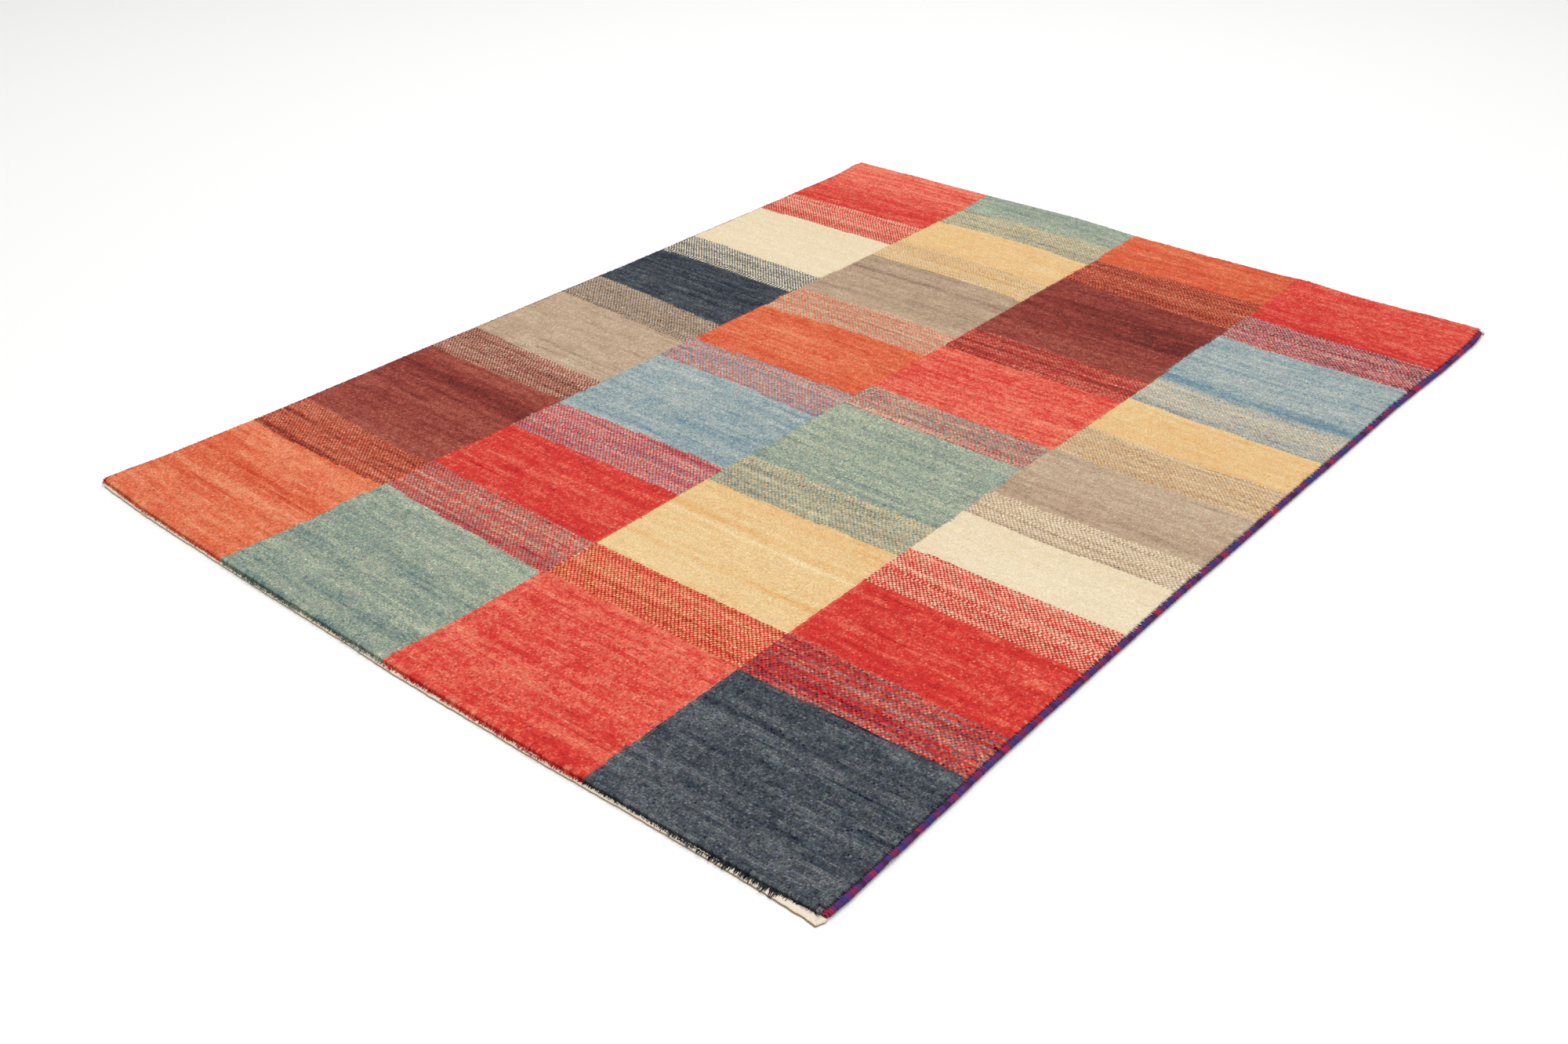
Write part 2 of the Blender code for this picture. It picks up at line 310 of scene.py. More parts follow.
# %% The weaver's chart
Block = namedtuple("Block", "dye partner left right start_tone end_tone partner_share", defaults=(0.5,))
CHART = (
    (
        Block("orange", None, 0.274, 0.289, 0.4, 0.55),
        Block("orange", "maroon", 0.387, 0.384, 0.2, 0.4, 0.54),
        Block("maroon", None, 0.671, 0.679, 0.55, 0.2),
        Block("maroon", "taupe", 0.778, 0.774, 0.2, 0.5, 0.42),
        Block("taupe", None, 1.003, 0.992, 0.2, -0.1),
        Block("taupe", "slate", 1.111, 1.092, -0.1, 0.3, 0.36),
        Block("slate", None, 1.299, 1.302, -0.1, -0.4),
        Block("slate", "cream", 1.398, 1.394, 0.7, 0.7, 0.48),
        Block("cream", None, 1.622, 1.629, 0.0, 0.1),
        Block("cream", "red", 1.740, 1.744, 0.0, 0.2, 0.74),
        Block("red", None, 2.100, 2.100, 0.0, 1.2),
    ),
    (
        Block("sage", None, 0.296, 0.282, -0.4, 0.5),
        Block("sage", "red", 0.391, 0.388, -0.3, 0.0, 0.56),
        Block("red", None, 0.561, 0.574, -0.1, 0.12),
        Block("red", "blue", 0.668, 0.686, 0.0, 0.0, 0.48),
        Block("blue", None, 0.924, 0.920, -0.3, 0.1),
        Block("blue", "orange", 1.017, 1.024, -0.4, -0.4, 0.47),
        Block("orange", None, 1.217, 1.239, 0.0, 0.1),
        Block("orange", "taupe", 1.332, 1.337, 0.5, 0.6, 0.52),
        Block("taupe", None, 1.564, 1.561, 0.0, -0.3),
        Block("taupe", "gold", 1.668, 1.657, 0.2, 0.0, 0.62),
        Block("gold", None, 1.810, 1.808, -0.2, 0.0),
        Block("gold", "sage", 1.900, 1.908, -0.1, 0.0, 0.64),
        Block("sage", None, 2.100, 2.100, 0.45, 0.0),
    ),
    (
        Block("red", None, 0.294, 0.289, 0.22, 0.37),
        Block("red", "gold", 0.393, 0.393, -0.1, -0.1, 0.31),
        Block("gold", None, 0.641, 0.652, 0.3, 0.0),
        Block("gold", "sage", 0.747, 0.751, -0.1, 0.1, 0.7),
        Block("sage", None, 0.994, 0.994, 0.0, 0.2),
        Block("sage", "red", 1.078, 1.081, 0.1, 0.2, 0.495),
        Block("red", None, 1.295, 1.303, 0.6, 0.35),
        Block("red", "maroon", 1.396, 1.396, 0.35, 0.35, 0.5),
        Block("maroon", None, 1.719, 1.701, 0.2, -0.3),
        Block("maroon", "orange", 1.839, 1.846, -0.1, 0.0, 0.46),
        Block("orange", None, 2.100, 2.100, -0.4, -0.15),
    ),
    (
        Block("slate", None, 0.287, 0.294, 0.3, 0.1),
        Block("slate", "red", 0.396, 0.389, 0.3, 0.3, 0.58),
        Block("red", None, 0.566, 0.574, -0.1, 0.0),
        Block("red", "cream", 0.681, 0.688, -0.2, 0.2, 0.34),
        Block("cream", None, 0.824, 0.827, 0.1, 0.1),
        Block("cream", "taupe", 0.902, 0.913, 0.1, -0.2, 0.52),
        Block("taupe", None, 1.087, 1.087, -0.1, 0.2),
        Block("taupe", "gold", 1.188, 1.191, -0.1, 0.1, 0.48),
        Block("gold", None, 1.325, 1.322, -0.3, 0.2),
        Block("gold", "blue", 1.425, 1.428, 0.0, 0.0, 0.68),
        Block("blue", None, 1.661, 1.665, -0.25, -0.1),
        Block("blue", "wine", 1.780, 1.777, 0.1, 0.1, 0.64),
        Block("red", None, 2.100, 2.100, -0.1, 0.18),
    ),
)

# A streak is a narrow band of another batch: its column, its middle, its half width, both in metres,
# and how much it shifts the tone.
Streak = namedtuple("Streak", "column at half_width tone")
STREAKS = (
    Streak(0, 0.130, 0.012, 0.5),
    Streak(0, 0.172, 0.009, -0.8),
    Streak(0, 0.600, 0.030, -0.5),
    Streak(1, 0.050, 0.012, -0.4),
    Streak(1, 1.445, 0.018, 0.35),
    Streak(1, 1.500, 0.009, -0.5),
    Streak(1, 1.556, 0.006, -0.3),
    Streak(2, 0.455, 0.008, -0.7),
    Streak(2, 0.545, 0.004, 0.7),
    Streak(2, 0.562, 0.008, -0.5),
    Streak(2, 1.550, 0.030, -0.9),
    Streak(2, 1.905, 0.016, -0.5),
    Streak(3, 0.075, 0.007, -0.7),
    Streak(3, 0.215, 0.006, -1.0),
    Streak(3, 0.245, 0.005, -1.0),
    Streak(3, 1.445, 0.012, -0.8),
)
print("blocks and bands:", [len(column) for column in CHART])

# %% Count the knots
KNOT_WIDTH = 3.63 * MM
ROW_HEIGHT = 4.05 * MM
pile_width = float((right_edge - left_edge).mean())
pile_length = float((far_edge - near_edge).mean())
COLUMNS = 2 * round(pile_width / KNOT_WIDTH / 2)
ROWS = 2 * round(pile_length / ROW_HEIGHT / 2)
COLUMN_SHARES = (0.2380, 0.4984, 0.7546)
column_ends = [0] + [round(share * COLUMNS) for share in COLUMN_SHARES] + [COLUMNS]
print("knots across", COLUMNS, "and rows", ROWS)

# %% Abrash and the colour of every knot
ABRASH_BROAD = 0.15
ABRASH_LONG = 0.21
ABRASH_FINE = 0.26
DASH_FROM = 1.0
DASH_TONE = -0.55
KNOT_TONE = 0.48
# Mixed bands are toned a little deeper: partly deeper dye, partly painted shade in the gaps between the two
# dyes' tips.
BAND_SHADE_AND_TONE = -0.15
BAND_STREAKS = 0.20
HUE_WANDER = 0.042
MINGLED_TIPS = 0.30
UNEVEN_TIPS = 0.25
EDGE_WANDER = 0.28
RAGGED_ROWS = 0.04
PLAIN_CORE = 0.62
PHASE_SLIPS = 0.06
BLOCK_BOW = 1.0 * MM
STREAK_BOW = 1.5 * MM
# A streak breaks up along its row: how strong it is on average, and how much that wanders.
STREAK_MEAN = 0.75
STREAK_SWING = 0.5
# How far each seam between two columns drifts to the right of a straight warp, in knots, from the near
# end to the far end.
SEAM_DRIFT = (
    (-0.6, 0.0, 1.1, 1.1, 1.6, 1.7, 2.2),
    (-0.6, 1.1, 1.4, 0.6, 1.1, 0.8, 0.8),
    (0.6, -0.3, 0.0, -0.6, -0.6, -0.3, -2.2),
)


def thread_noise(rows_long, columns_long):
    """Even noise over the knots, smoothed over so many rows and so many columns."""
    noise = chance.standard_normal((ROWS, COLUMNS))
    keep_rows = np.exp(-2 * (math.pi * rows_long * np.fft.fftfreq(ROWS)) ** 2)
    keep_columns = np.exp(-2 * (math.pi * columns_long * np.fft.rfftfreq(COLUMNS)) ** 2)
    smooth = np.fft.irfft2(np.fft.rfft2(noise) * np.outer(keep_rows, keep_columns), s=noise.shape)
    return smooth / smooth.std()


def column_of_knots():
    """Which column of blocks each knot belongs to. The seams wander by about a knot."""
    knot = np.arange(COLUMNS)[None, :]
    column = np.zeros((ROWS, COLUMNS), int)
    for end, drift in zip(column_ends[1:-1], SEAM_DRIFT):
        drifted = np.interp(np.linspace(0, 1, ROWS), np.linspace(0, 1, len(drift)), drift)[:, None]
        wander = thread_noise(14, 1)[:, :1] * EDGE_WANDER
        ragged = chance.integers(-1, 2, (ROWS, 1)) * (chance.random((ROWS, 1)) < RAGGED_ROWS)
        column += knot >= end + np.round(drifted + wander + ragged)
    return column


def tone_of_knots(column):
    """One column of blocks: its grain, from broad bands down to single knots, and its named streaks."""
    grain = ABRASH_BROAD * thread_noise(7, 80) + ABRASH_LONG * thread_noise(0.55, 20)
    grain += ABRASH_FINE * thread_noise(0.35, 4) + KNOT_TONE * chance.standard_normal((ROWS, COLUMNS))
    grain += DASH_TONE * np.clip(thread_noise(0.35, 13) - DASH_FROM, 0.0, None)
    height = (np.arange(ROWS)[:, None] + 0.5) * ROW_HEIGHT + STREAK_BOW * thread_noise(2, 30)
    broken = np.clip(STREAK_MEAN + STREAK_SWING * thread_noise(2, 28), 0.0, 1.5)
    streaked = np.zeros((ROWS, COLUMNS))
    for streak in STREAKS:
        if streak.column == column:
            away = (height - streak.at) / streak.half_width
            streaked += streak.tone * broken * np.exp(-(away**2))
    return grain, streaked


def softened(colours):
    """Each knot's colour, averaged with those of the eight knots round it."""
    rows, columns = colours.shape[:2]
    padded = np.pad(colours, ((1, 1), (1, 1), (0, 0)), mode="edge")
    return sum(padded[j:j + rows, i:i + columns] for j in range(3) for i in range(3)) / 9.0


Wool = namedtuple("Wool", "own beside core fibre")


def knot_wool():
    """Every knot's own colour, the colour beside it, how far its own tips reach, and its liveliness."""
    own = np.zeros((ROWS, COLUMNS, 3))
    over = np.zeros((ROWS, COLUMNS, 3))
    banded = np.zeros((ROWS, COLUMNS), bool)
    core = np.full((ROWS, COLUMNS), PLAIN_CORE)
    fibre = np.zeros((ROWS, COLUMNS))
    column = column_of_knots()
    rows = np.arange(ROWS)[:, None]
    slips = np.cumsum(chance.random((ROWS, 1)) < PHASE_SLIPS, axis=0)
    partner_turn = (rows + slips + np.arange(COLUMNS)[None, :]) % 2 == 1
    height = (rows + 0.5) * pile_length / ROWS + np.zeros((1, COLUMNS))
    for number, blocks in enumerate(CHART):
        first, last = column_ends[number], column_ends[number + 1]
        across = np.clip((np.arange(COLUMNS) - first) / (last - first), 0, 1)[None, :]
        bow = BLOCK_BOW * thread_noise(20, 30)
        grain, streaked = tone_of_knots(number)
        mingled = BAND_STREAKS * thread_noise(0.5, 26)
        start = np.zeros((1, COLUMNS))
        for block in blocks:
            end = block.left + (block.right - block.left) * across + bow
            inside = (column == number) & (height >= start) & (height < end)
            share = np.clip((height - start) / np.maximum(end - start, ROW_HEIGHT), 0, 1)
            toned = streaked + block.start_tone + (block.end_tone - block.start_tone) * share
            # In a mixed band the tone is deeper: partly deeper dye, partly painted shade in the gaps
            # between the tips.
            if block.partner:
                toned = toned + BAND_SHADE_AND_TONE + mingled
            colour = dyed(block.dye, toned + grain * DYES[block.dye].grain)
            lively = DYES[block.dye].fibre
            if block.partner:
                partner = dyed(block.partner, toned + grain * DYES[block.partner].grain)
                partner_leads = block.partner_share >= 0.5
                covered = partner_turn != partner_leads
                over = np.where(inside[..., None], partner if partner_leads else colour, over)
                banded |= inside
                seen = 2 * min(block.partner_share, 1 - block.partner_share)
                seen = seen * (1.0 + mingled + UNEVEN_TIPS * chance.standard_normal(core.shape))
                seen = np.clip(seen, 0.1, 1.0)
                reach = np.minimum(seen / (1.0 - MINGLED_TIPS), 1.0)
                core = np.where(inside & covered, reach, core)
                lead, other = (partner, colour) if partner_leads else (colour, partner)
                kept = (seen / reach)[..., None]
                colour = np.where(covered[..., None], other * kept + lead * (1.0 - kept), lead)
                lively = (lively + DYES[block.partner].fibre) / 2
            own = np.where(inside[..., None], colour, own)
            fibre = np.where(inside, lively, fibre)
            start = end
    hue = 1.0 + HUE_WANDER * fibre[..., None] * chance.standard_normal(own.shape)
    own = np.clip(own * hue, 0.0, 1.0)
    beside = np.where(banded[..., None], over, softened(own))
    return Wool(own, beside, np.sqrt(core / math.pi), fibre)


# One pinkish white knot stands out in the second column, just past its orange block, at these shares
# of the width and of the length.
STRAY_KNOT = (0.393, 0.628)
STRAY_COLOUR = (238, 205, 190)

wool = knot_wool()
wool.own[round(STRAY_KNOT[1] * ROWS), round(STRAY_KNOT[0] * COLUMNS)] = screen_colour(*STRAY_COLOUR)
knots = wool.own
print("mean colour of the wool:", np.round(knots.mean((0, 1)), 3))

# %% [markdown]
# The pile is one smooth-looking surface made of the cut tips of some two hundred thousand knots. One
# face for each knot gives every tip its own colour and its own small tilt, and the whole stays light
# enough to keep. The rim rolls over and drops to the ground, as the tufts there lean out, and painted
# shade darkens its colour as it drops. The pile is cut into the four columns of blocks, so that no piece
# is too heavy.

# %% Threads of the pile: the lines between the knots
# A line of the rim: how far out it lies, how far it drops, and the painted shade that darkens its faces'
# colour.
RimLine = namedtuple("RimLine", "out drop shade")
END_RIM = (
    RimLine(0.0, 0.0, 1.0),
    RimLine(1.0 * MM, 0.25 * MM, 1.0),
    RimLine(1.7 * MM, 0.9 * MM, 0.94),
    RimLine(2.1 * MM, 2.0 * MM, 0.80),
    RimLine(2.1 * MM, 3.6 * MM, 0.62),
    RimLine(1.6 * MM, 6.6 * MM, 0.58),
)
SIDE_RIM = (
    RimLine(0.0, 0.0, 1.0),
    RimLine(0.9 * MM, 0.3 * MM, 1.0),
    RimLine(1.6 * MM, 1.0 * MM, 0.95),
    RimLine(2.0 * MM, 2.2 * MM, 0.85),
    RimLine(2.0 * MM, 4.4 * MM, 0.70),
    RimLine(1.8 * MM, 6.6 * MM, 0.40),
)
RIM_COUNT = len(END_RIM) - 1
PILE_DEPTH = END_RIM[-1].drop
Lines = namedtuple("Lines", "share out drop knot shade")


def lines_of(count, rim):
    """The lines across one direction: the rim, a line between each two knots, and the rim again."""
    outs = np.array([line.out for line in rim[1:]])
    drops = np.array([line.drop for line in rim[1:]])
    # Painted shade: the rim's lines darken the colour of their faces, and the knots inside keep theirs.
    painted_shades = np.array([line.shade for line in rim[1:]])
    inner = np.zeros(count + 1)
    share = np.concatenate([np.zeros(len(outs)), np.linspace(0, 1, count + 1), np.ones(len(outs))])
    out = np.concatenate([-outs[::-1], inner, outs])
    drop = np.concatenate([drops[::-1], inner, drops])
    knot = np.clip(np.arange(len(share) - 1) - len(outs), 0, count - 1)
    shade = np.concatenate([painted_shades[::-1], np.ones(count), painted_shades])
    return Lines(share, out, drop, knot, shade)


across_lines = lines_of(COLUMNS, SIDE_RIM)
along_lines = lines_of(ROWS, END_RIM)
print("lines", len(across_lines.share), "by", len(along_lines.share))

# %% Points of the pile
TIP_HEIGHT = 0.24 * MM
TIP_DRIFT = 0.52 * MM
SWELL = 0.18 * MM
RIM_HOLD = 0.7
Corner = namedtuple("Corner", "row column radius")
CORNERS = (
    Corner(0, 0, 11 * MM),
    Corner(0, -1, 3 * MM),
    Corner(-1, 0, 6 * MM),
    Corner(-1, -1, 3 * MM),
)


def line_noise(rows_long, columns_long):
    """Thread noise, carried out over the rim by repeating its edge."""
    padding = ((RIM_COUNT, RIM_COUNT + 1), (RIM_COUNT, RIM_COUNT + 1))
    return np.pad(thread_noise(rows_long, columns_long), padding, mode="edge")


def round_corners(x, y):
    """Draws the four square corners of the grid of points in to the rounded ones of the pile."""
    for j, i, radius in CORNERS:
        towards_x = -1 if i else 1
        towards_y = -1 if j else 1
        middle_x = x[j, i] + towards_x * radius
        middle_y = y[j, i] + towards_y * radius
        out_x = np.clip((middle_x - x) * towards_x / radius, 0.0, None)
        out_y = np.clip((middle_y - y) * towards_y / radius, 0.0, None)
        reach = np.maximum(out_x, out_y) / np.maximum(np.hypot(out_x, out_y), 1e-6)
        reach = np.where((out_x > 0) & (out_y > 0), reach, 1.0)
        x = np.where(reach < 1.0, middle_x + (x - middle_x) * reach, x)
        y = np.where(reach < 1.0, middle_y + (y - middle_y) * reach, y)
    return x, y


def pile_points():
    """The place of every crossing of the lines, with the small unevenness of hand-cut wool."""
    across, along = np.meshgrid(across_lines.share, along_lines.share)
    x, y = weave_place(across, along)
    drop = np.maximum(across_lines.drop[None, :], along_lines.drop[:, None])
    loose = 1.0 - RIM_HOLD * drop / PILE_DEPTH
    x, y = round_corners(x + across_lines.out[None, :], y + along_lines.out[:, None])
    x = x + TIP_DRIFT * line_noise(0.1, 0.1) * loose
    y = y + TIP_DRIFT * line_noise(0.1, 0.1) * loose
    z = read_heights(top_heights, across, along) - drop
    z += (TIP_HEIGHT * line_noise(0.1, 0.1) + SWELL * line_noise(3, 4)) * loose
    return np.stack([x, y, z], axis=-1)


pile_grid = pile_points()
print("pile points:", pile_grid.shape[0] * pile_grid.shape[1])


# %% Meshes in bulk
SHARP_FROM = math.radians(62)


def bulk_mesh(name, points, quads, caps=()):
    """A mesh from arrays: four-sided faces, and a many-sided cap or two to close it."""
    mesh = bpy.data.meshes.new(name)
    sizes = np.concatenate([np.full(len(quads), 4), [len(cap) for cap in caps]]).astype(np.int32)
    corners = np.concatenate([quads.ravel(), *caps]).astype(np.int32)
    mesh.vertices.add(len(points))
    mesh.vertices.foreach_set("co", points.astype(np.float32).ravel())
    mesh.loops.add(len(corners))
    mesh.loops.foreach_set("vertex_index", corners)
    mesh.polygons.add(len(sizes))
    mesh.polygons.foreach_set("loop_start", (np.cumsum(sizes) - sizes).astype(np.int32))
    mesh.update(calc_edges=True)
    mesh.shade_smooth()
    mesh.set_sharp_from_angle(angle=SHARP_FROM)
    return mesh


def grid_quads(rows, columns):
    """The four-sided faces of a grid of points, anticlockwise from above."""
    first = np.arange(rows - 1)[:, None] * columns + np.arange(columns - 1)[None, :]
    return np.stack([first, first + 1, first + columns + 1, first + columns], axis=-1).reshape(-1, 4)


def grid_rim(rows, columns):
    """The points round a grid, clockwise from above, for a cap that faces down."""
    near = np.arange(columns)
    right = np.arange(1, rows) * columns + columns - 1
    far = (rows - 1) * columns + np.arange(columns - 2, -1, -1)
    left = np.arange(rows - 2, 0, -1) * columns
    return np.concatenate([near, right, far, left])[::-1]


def face_colours(mesh, name, colours, alpha=1.0):
    """Keeps a colour for each face, and one number more as its alpha. The cap takes the last one."""
    flat = np.concatenate([colours, np.zeros((len(colours), 1)) + alpha], axis=1)
    spare = len(mesh.polygons) - len(colours)
    flat = np.concatenate([flat, np.repeat(flat[-1:], spare, axis=0)])
    layer = mesh.attributes.new(name, "FLOAT_COLOR", "FACE")
    layer.data.foreach_set("color", flat.astype(np.float32).ravel())


def grid_spots(columns_at, rows_at):
    """The spot of each point of a grid in the map of knots."""
    return np.stack(np.meshgrid(columns_at, rows_at), axis=-1).reshape(-1, 2)


def knot_map(mesh, spots):
    """A UV map counted in knots: one unit across and one along is one knot."""
    corners = np.zeros(len(mesh.loops), np.int32)
    mesh.loops.foreach_get("vertex_index", corners)
    mesh.uv_layers.new(name="knots").data.foreach_set("uv", spots[corners].astype(np.float32).ravel())


def map_places(lines, count):
    """Where lines lie in the map of knots. All of a rim lies in the middle of a knot."""
    places = np.asarray(lines) - float(RIM_COUNT)
    return np.where(places < 0, -0.5, np.where(places > count, count + 0.5, places))


# %% The four columns of pile
def foot_under(line):
    """A line of points dropped to the foot of the pile, to close the side where a column is cut."""
    foot = line.copy()
    foot[..., 2] -= PILE_DEPTH - along_lines.drop[:, None]
    return foot


def pile_column(number):
    """One column of the pile as a closed body: its knots, its rim, and a plain foot under it."""
    is_first = number == 0
    is_last = number == len(CHART) - 1
    first = column_ends[number] + (0 if is_first else RIM_COUNT)
    last = column_ends[number + 1] + (2 * RIM_COUNT if is_last else RIM_COUNT)
    columns_at = np.arange(first, last + 1)
    points = pile_grid[:, columns_at]
    if not is_first:
        points = np.concatenate([foot_under(points[:, :1]), points], axis=1)
        columns_at = np.concatenate([columns_at[:1], columns_at])
    if not is_last:
        points = np.concatenate([points, foot_under(points[:, -1:])], axis=1)
        columns_at = np.concatenate([columns_at, columns_at[-1:]])
    rows, columns = points.shape[:2]
    quads = grid_quads(rows, columns)
    caps = [grid_rim(rows, columns)]
    mesh = bulk_mesh(f"pile_column_{number + 1}", points.reshape(-1, 3), quads, caps)
    knots_at = np.clip(columns_at[:-1] - RIM_COUNT, 0, COLUMNS - 1)
    # Painted shade on the rim: the colours of its faces darken as it drops to the ground.
    painted_shade_across = across_lines.shade[columns_at[:-1]]
    shade = np.minimum(along_lines.shade[:, None], painted_shade_across[None, :])[..., None]
    own, beside, core, fibre = (part[along_lines.knot][:, knots_at] for part in wool)
    face_colours(mesh, "dye", (own * shade).reshape(-1, 3), fibre.reshape(-1, 1))
    face_colours(mesh, "beside", (beside * shade).reshape(-1, 3), core.reshape(-1, 1))
    knot_map(mesh, grid_spots(map_places(columns_at, COLUMNS), map_places(np.arange(rows), ROWS)))
    return add_object(mesh.name, mesh)


pile_columns = [pile_column(number) for number in range(len(CHART))]
for piece in pile_columns:
    print(piece.name, "has", len(piece.data.polygons), "faces")

# %% [markdown]
# Wool. Each face keeps its knot's own dye and the dye beside it, because the cut tips of neighbours
# lean over one another. The shader lets the own dye show in the middle of the knot, with a ragged edge
# laid out by the map of knots, breaks it up with fine fibres, rounds it with a bump, and paints shade
# in: each knot lighter in its middle and darker at the gaps between knots. The fibres are a node group,
# because the cord and the cotton use them too. It gives only a colour and a height, and the shader
# stays outside it.

# %% A node group for fibres
def build_fibre_group():
    """Fine fibres: they break up a colour, and give a height for a bump."""
    group = bpy.data.node_groups.new("fibres", "ShaderNodeTree")
    for name, way, kind in (
        ("Colour", "INPUT", "NodeSocketColor"),
        ("Place", "INPUT", "NodeSocketVector"),
        ("Fineness", "INPUT", "NodeSocketFloat"),
        ("Contrast", "INPUT", "NodeSocketFloat"),
        ("Colour", "OUTPUT", "NodeSocketColor"),
        ("Height", "OUTPUT", "NodeSocketFloat"),
    ):
        group.interface.new_socket(name, in_out=way, socket_type=kind)
    given = add_node(group, "NodeGroupInput").outputs
    noise = add_node(
        group,
        "ShaderNodeTexNoise",
        {"Vector": given["Place"], "Scale": given["Fineness"], "Detail": 3.0, "Roughness": 0.65},
    )
    swing = maths(group, "SUBTRACT", noise.outputs["Fac"], 0.5)
    gain = maths(group, "MULTIPLY_ADD", swing, given["Contrast"], 1.0)
    tinted = scaled(group, given["Colour"], gain)
    add_node(group, "NodeGroupOutput", {"Colour": tinted, "Height": noise.outputs["Fac"]})
    return group


fibre_group = build_fibre_group()
print("group", fibre_group.name, "is ready")


# %% Yarn materials
YARN_SHADER = {
    "Roughness": 0.92,
    "Specular IOR Level": 0.08,
    "Sheen Weight": 0.05,
    "Sheen Roughness": 0.5,
}


def new_yarn(name):
    """An empty material for yarn, and its shader."""
    material = bpy.data.materials.new(name)
    material.use_nodes = True
    shader = material.node_tree.nodes["Principled BSDF"]
    for key, value in YARN_SHADER.items():
        shader.inputs[key].default_value = value
    return material, shader


def kept_colour(tree, name):
    """The colour that the faces or points keep under a name, with its alpha."""
    return add_node(tree, "ShaderNodeAttribute", attribute_name=name).outputs


def fibres_on(tree, colour, fineness, contrast):
    """Adds the fibre group to a material for a colour, which may be a link or a plain colour."""
    place = add_node(tree, "ShaderNodeTexCoord").outputs["Object"]
    inputs = {"Colour": colour, "Place": place, "Fineness": fineness, "Contrast": contrast}
    return add_node(tree, "ShaderNodeGroup", inputs, node_tree=fibre_group).outputs


def finish_yarn(tree, shader, colour, height, depth, strength):
    """Joins a colour and a bump's height to the shader."""
    bump = add_node(tree, "ShaderNodeBump", {"Height": height, "Distance": depth, "Strength": strength})
    tree.links.new(colour, shader.inputs["Base Color"])
    tree.links.new(bump.outputs["Normal"], shader.inputs["Normal"])


# %% The pile's wool
TUFT_BUMP = 0.9 * MM
PILE_FIBRES = 400.0
FIBRE_GAIN = 2.9
# Painted light and shade on each knot: how much lighter the middle of its dome is, and how dark the gaps
# are.
DOME_PAINTED_SHADING = 0.36
DOME_SLOPE = 1.4
FIBRE_RISE = 1.6
GAP_PAINTED_SHADE = 0.96
SPOT_DRIFT = 0.55
SPOT_NOISE = 1.7
TIP_SOFTNESS = 0.11


def from_knot_middle(tree):
    """How far a place is from the middle of its knot, in knots, with the knots pushed about by noise."""
    spot = add_node(tree, "ShaderNodeUVMap", uv_map="knots").outputs[0]
    noise = add_node(tree, "ShaderNodeTexNoise", {"Vector": spot, "Scale": SPOT_NOISE, "Detail": 1.5})
    swing = vector_maths(tree, "SUBTRACT", noise.outputs["Color"], (0.5, 0.5, 0.5))
    push = vector_maths(tree, "MULTIPLY", swing, (SPOT_DRIFT, SPOT_DRIFT, 0.0))
    share = vector_maths(tree, "FRACTION", vector_maths(tree, "ADD", spot, push))
    aside = vector_maths(tree, "SUBTRACT", share, (0.5, 0.5, 0.0))
    return add_node(tree, "ShaderNodeVectorMath", {0: aside}, operation="LENGTH").outputs["Value"]


def build_pile_wool():
    """The pile: each knot's own dye inside its tips, the dye beside it between them, a low dome, and
    painted shade that lightens each knot's middle and darkens its gaps.
    """
    material, shader = new_yarn("pile_wool")
    tree = material.node_tree
    dye = kept_colour(tree, "dye")
    beside = kept_colour(tree, "beside")
    away = from_knot_middle(tree)
    inside = maths(tree, "SUBTRACT", beside["Alpha"], away)
    limits = {0: inside, 1: -TIP_SOFTNESS, 2: TIP_SOFTNESS, 3: 0.0, 4: 1.0}
    tips = add_node(tree, "ShaderNodeMapRange", limits).outputs[0]
    mixed = blended(tree, tips, beside["Color"], dye["Color"])
    fibres = fibres_on(tree, mixed, PILE_FIBRES, maths(tree, "MULTIPLY", dye["Alpha"], FIBRE_GAIN))
    dome = maths(tree, "MULTIPLY_ADD", away, -DOME_SLOPE, 1.0)
    lively_dome = maths(tree, "MULTIPLY", dome, dye["Alpha"])
    # Painted shade and light: darker in the gaps between knots, lighter at each knot's middle.
    gap_painted_shade = maths(tree, "MULTIPLY_ADD", dye["Alpha"], -0.5 * DOME_PAINTED_SHADING, GAP_PAINTED_SHADE)
    colour = scaled(tree, fibres["Colour"], maths(tree, "MULTIPLY_ADD", lively_dome, DOME_PAINTED_SHADING, gap_painted_shade))
    height = maths(tree, "MULTIPLY_ADD", fibres["Height"], FIBRE_RISE, lively_dome)
    finish_yarn(tree, shader, colour, height, TUFT_BUMP, 0.5)
    return material


pile_wool = build_pile_wool()
for piece in pile_columns:
    piece.data.materials.append(pile_wool)
print("material", pile_wool.name, "is on", len(pile_columns), "pieces")

# %% [markdown]
# The ground. Warp and weft are undyed cotton, and the pile hides them from above. From below, each
# knot shows as a pair of small wool loops round its two warps, so the whole pattern can be read on
# the back, turned left to right. One face of the underside stands for two knots by two: it keeps the
# dyes of both its diagonals, and the shader lays them out again as single knots.

# %% The knot backs
GROUND_DEPTH = 6.8 * MM
GROUND_MARGIN = 1.0 * MM
FLAP_THICKNESS = 1.3 * MM
FLAP_REACH = 19.0 * MM
FLAP_EASE = 6.0 * MM
ROW_RIPPLE = 0.1 * MM
RIPPLE_TURN = 2.4
BARE_COTTON = (214, 198, 170)


def pair_colours(first, second):
    """The mean dye of two of the four knots under each face, as rows of colours."""
    return (knots[first[0]::2, first[1]::2] + knots[second[0]::2, second[1]::2]).reshape(-1, 3) / 2


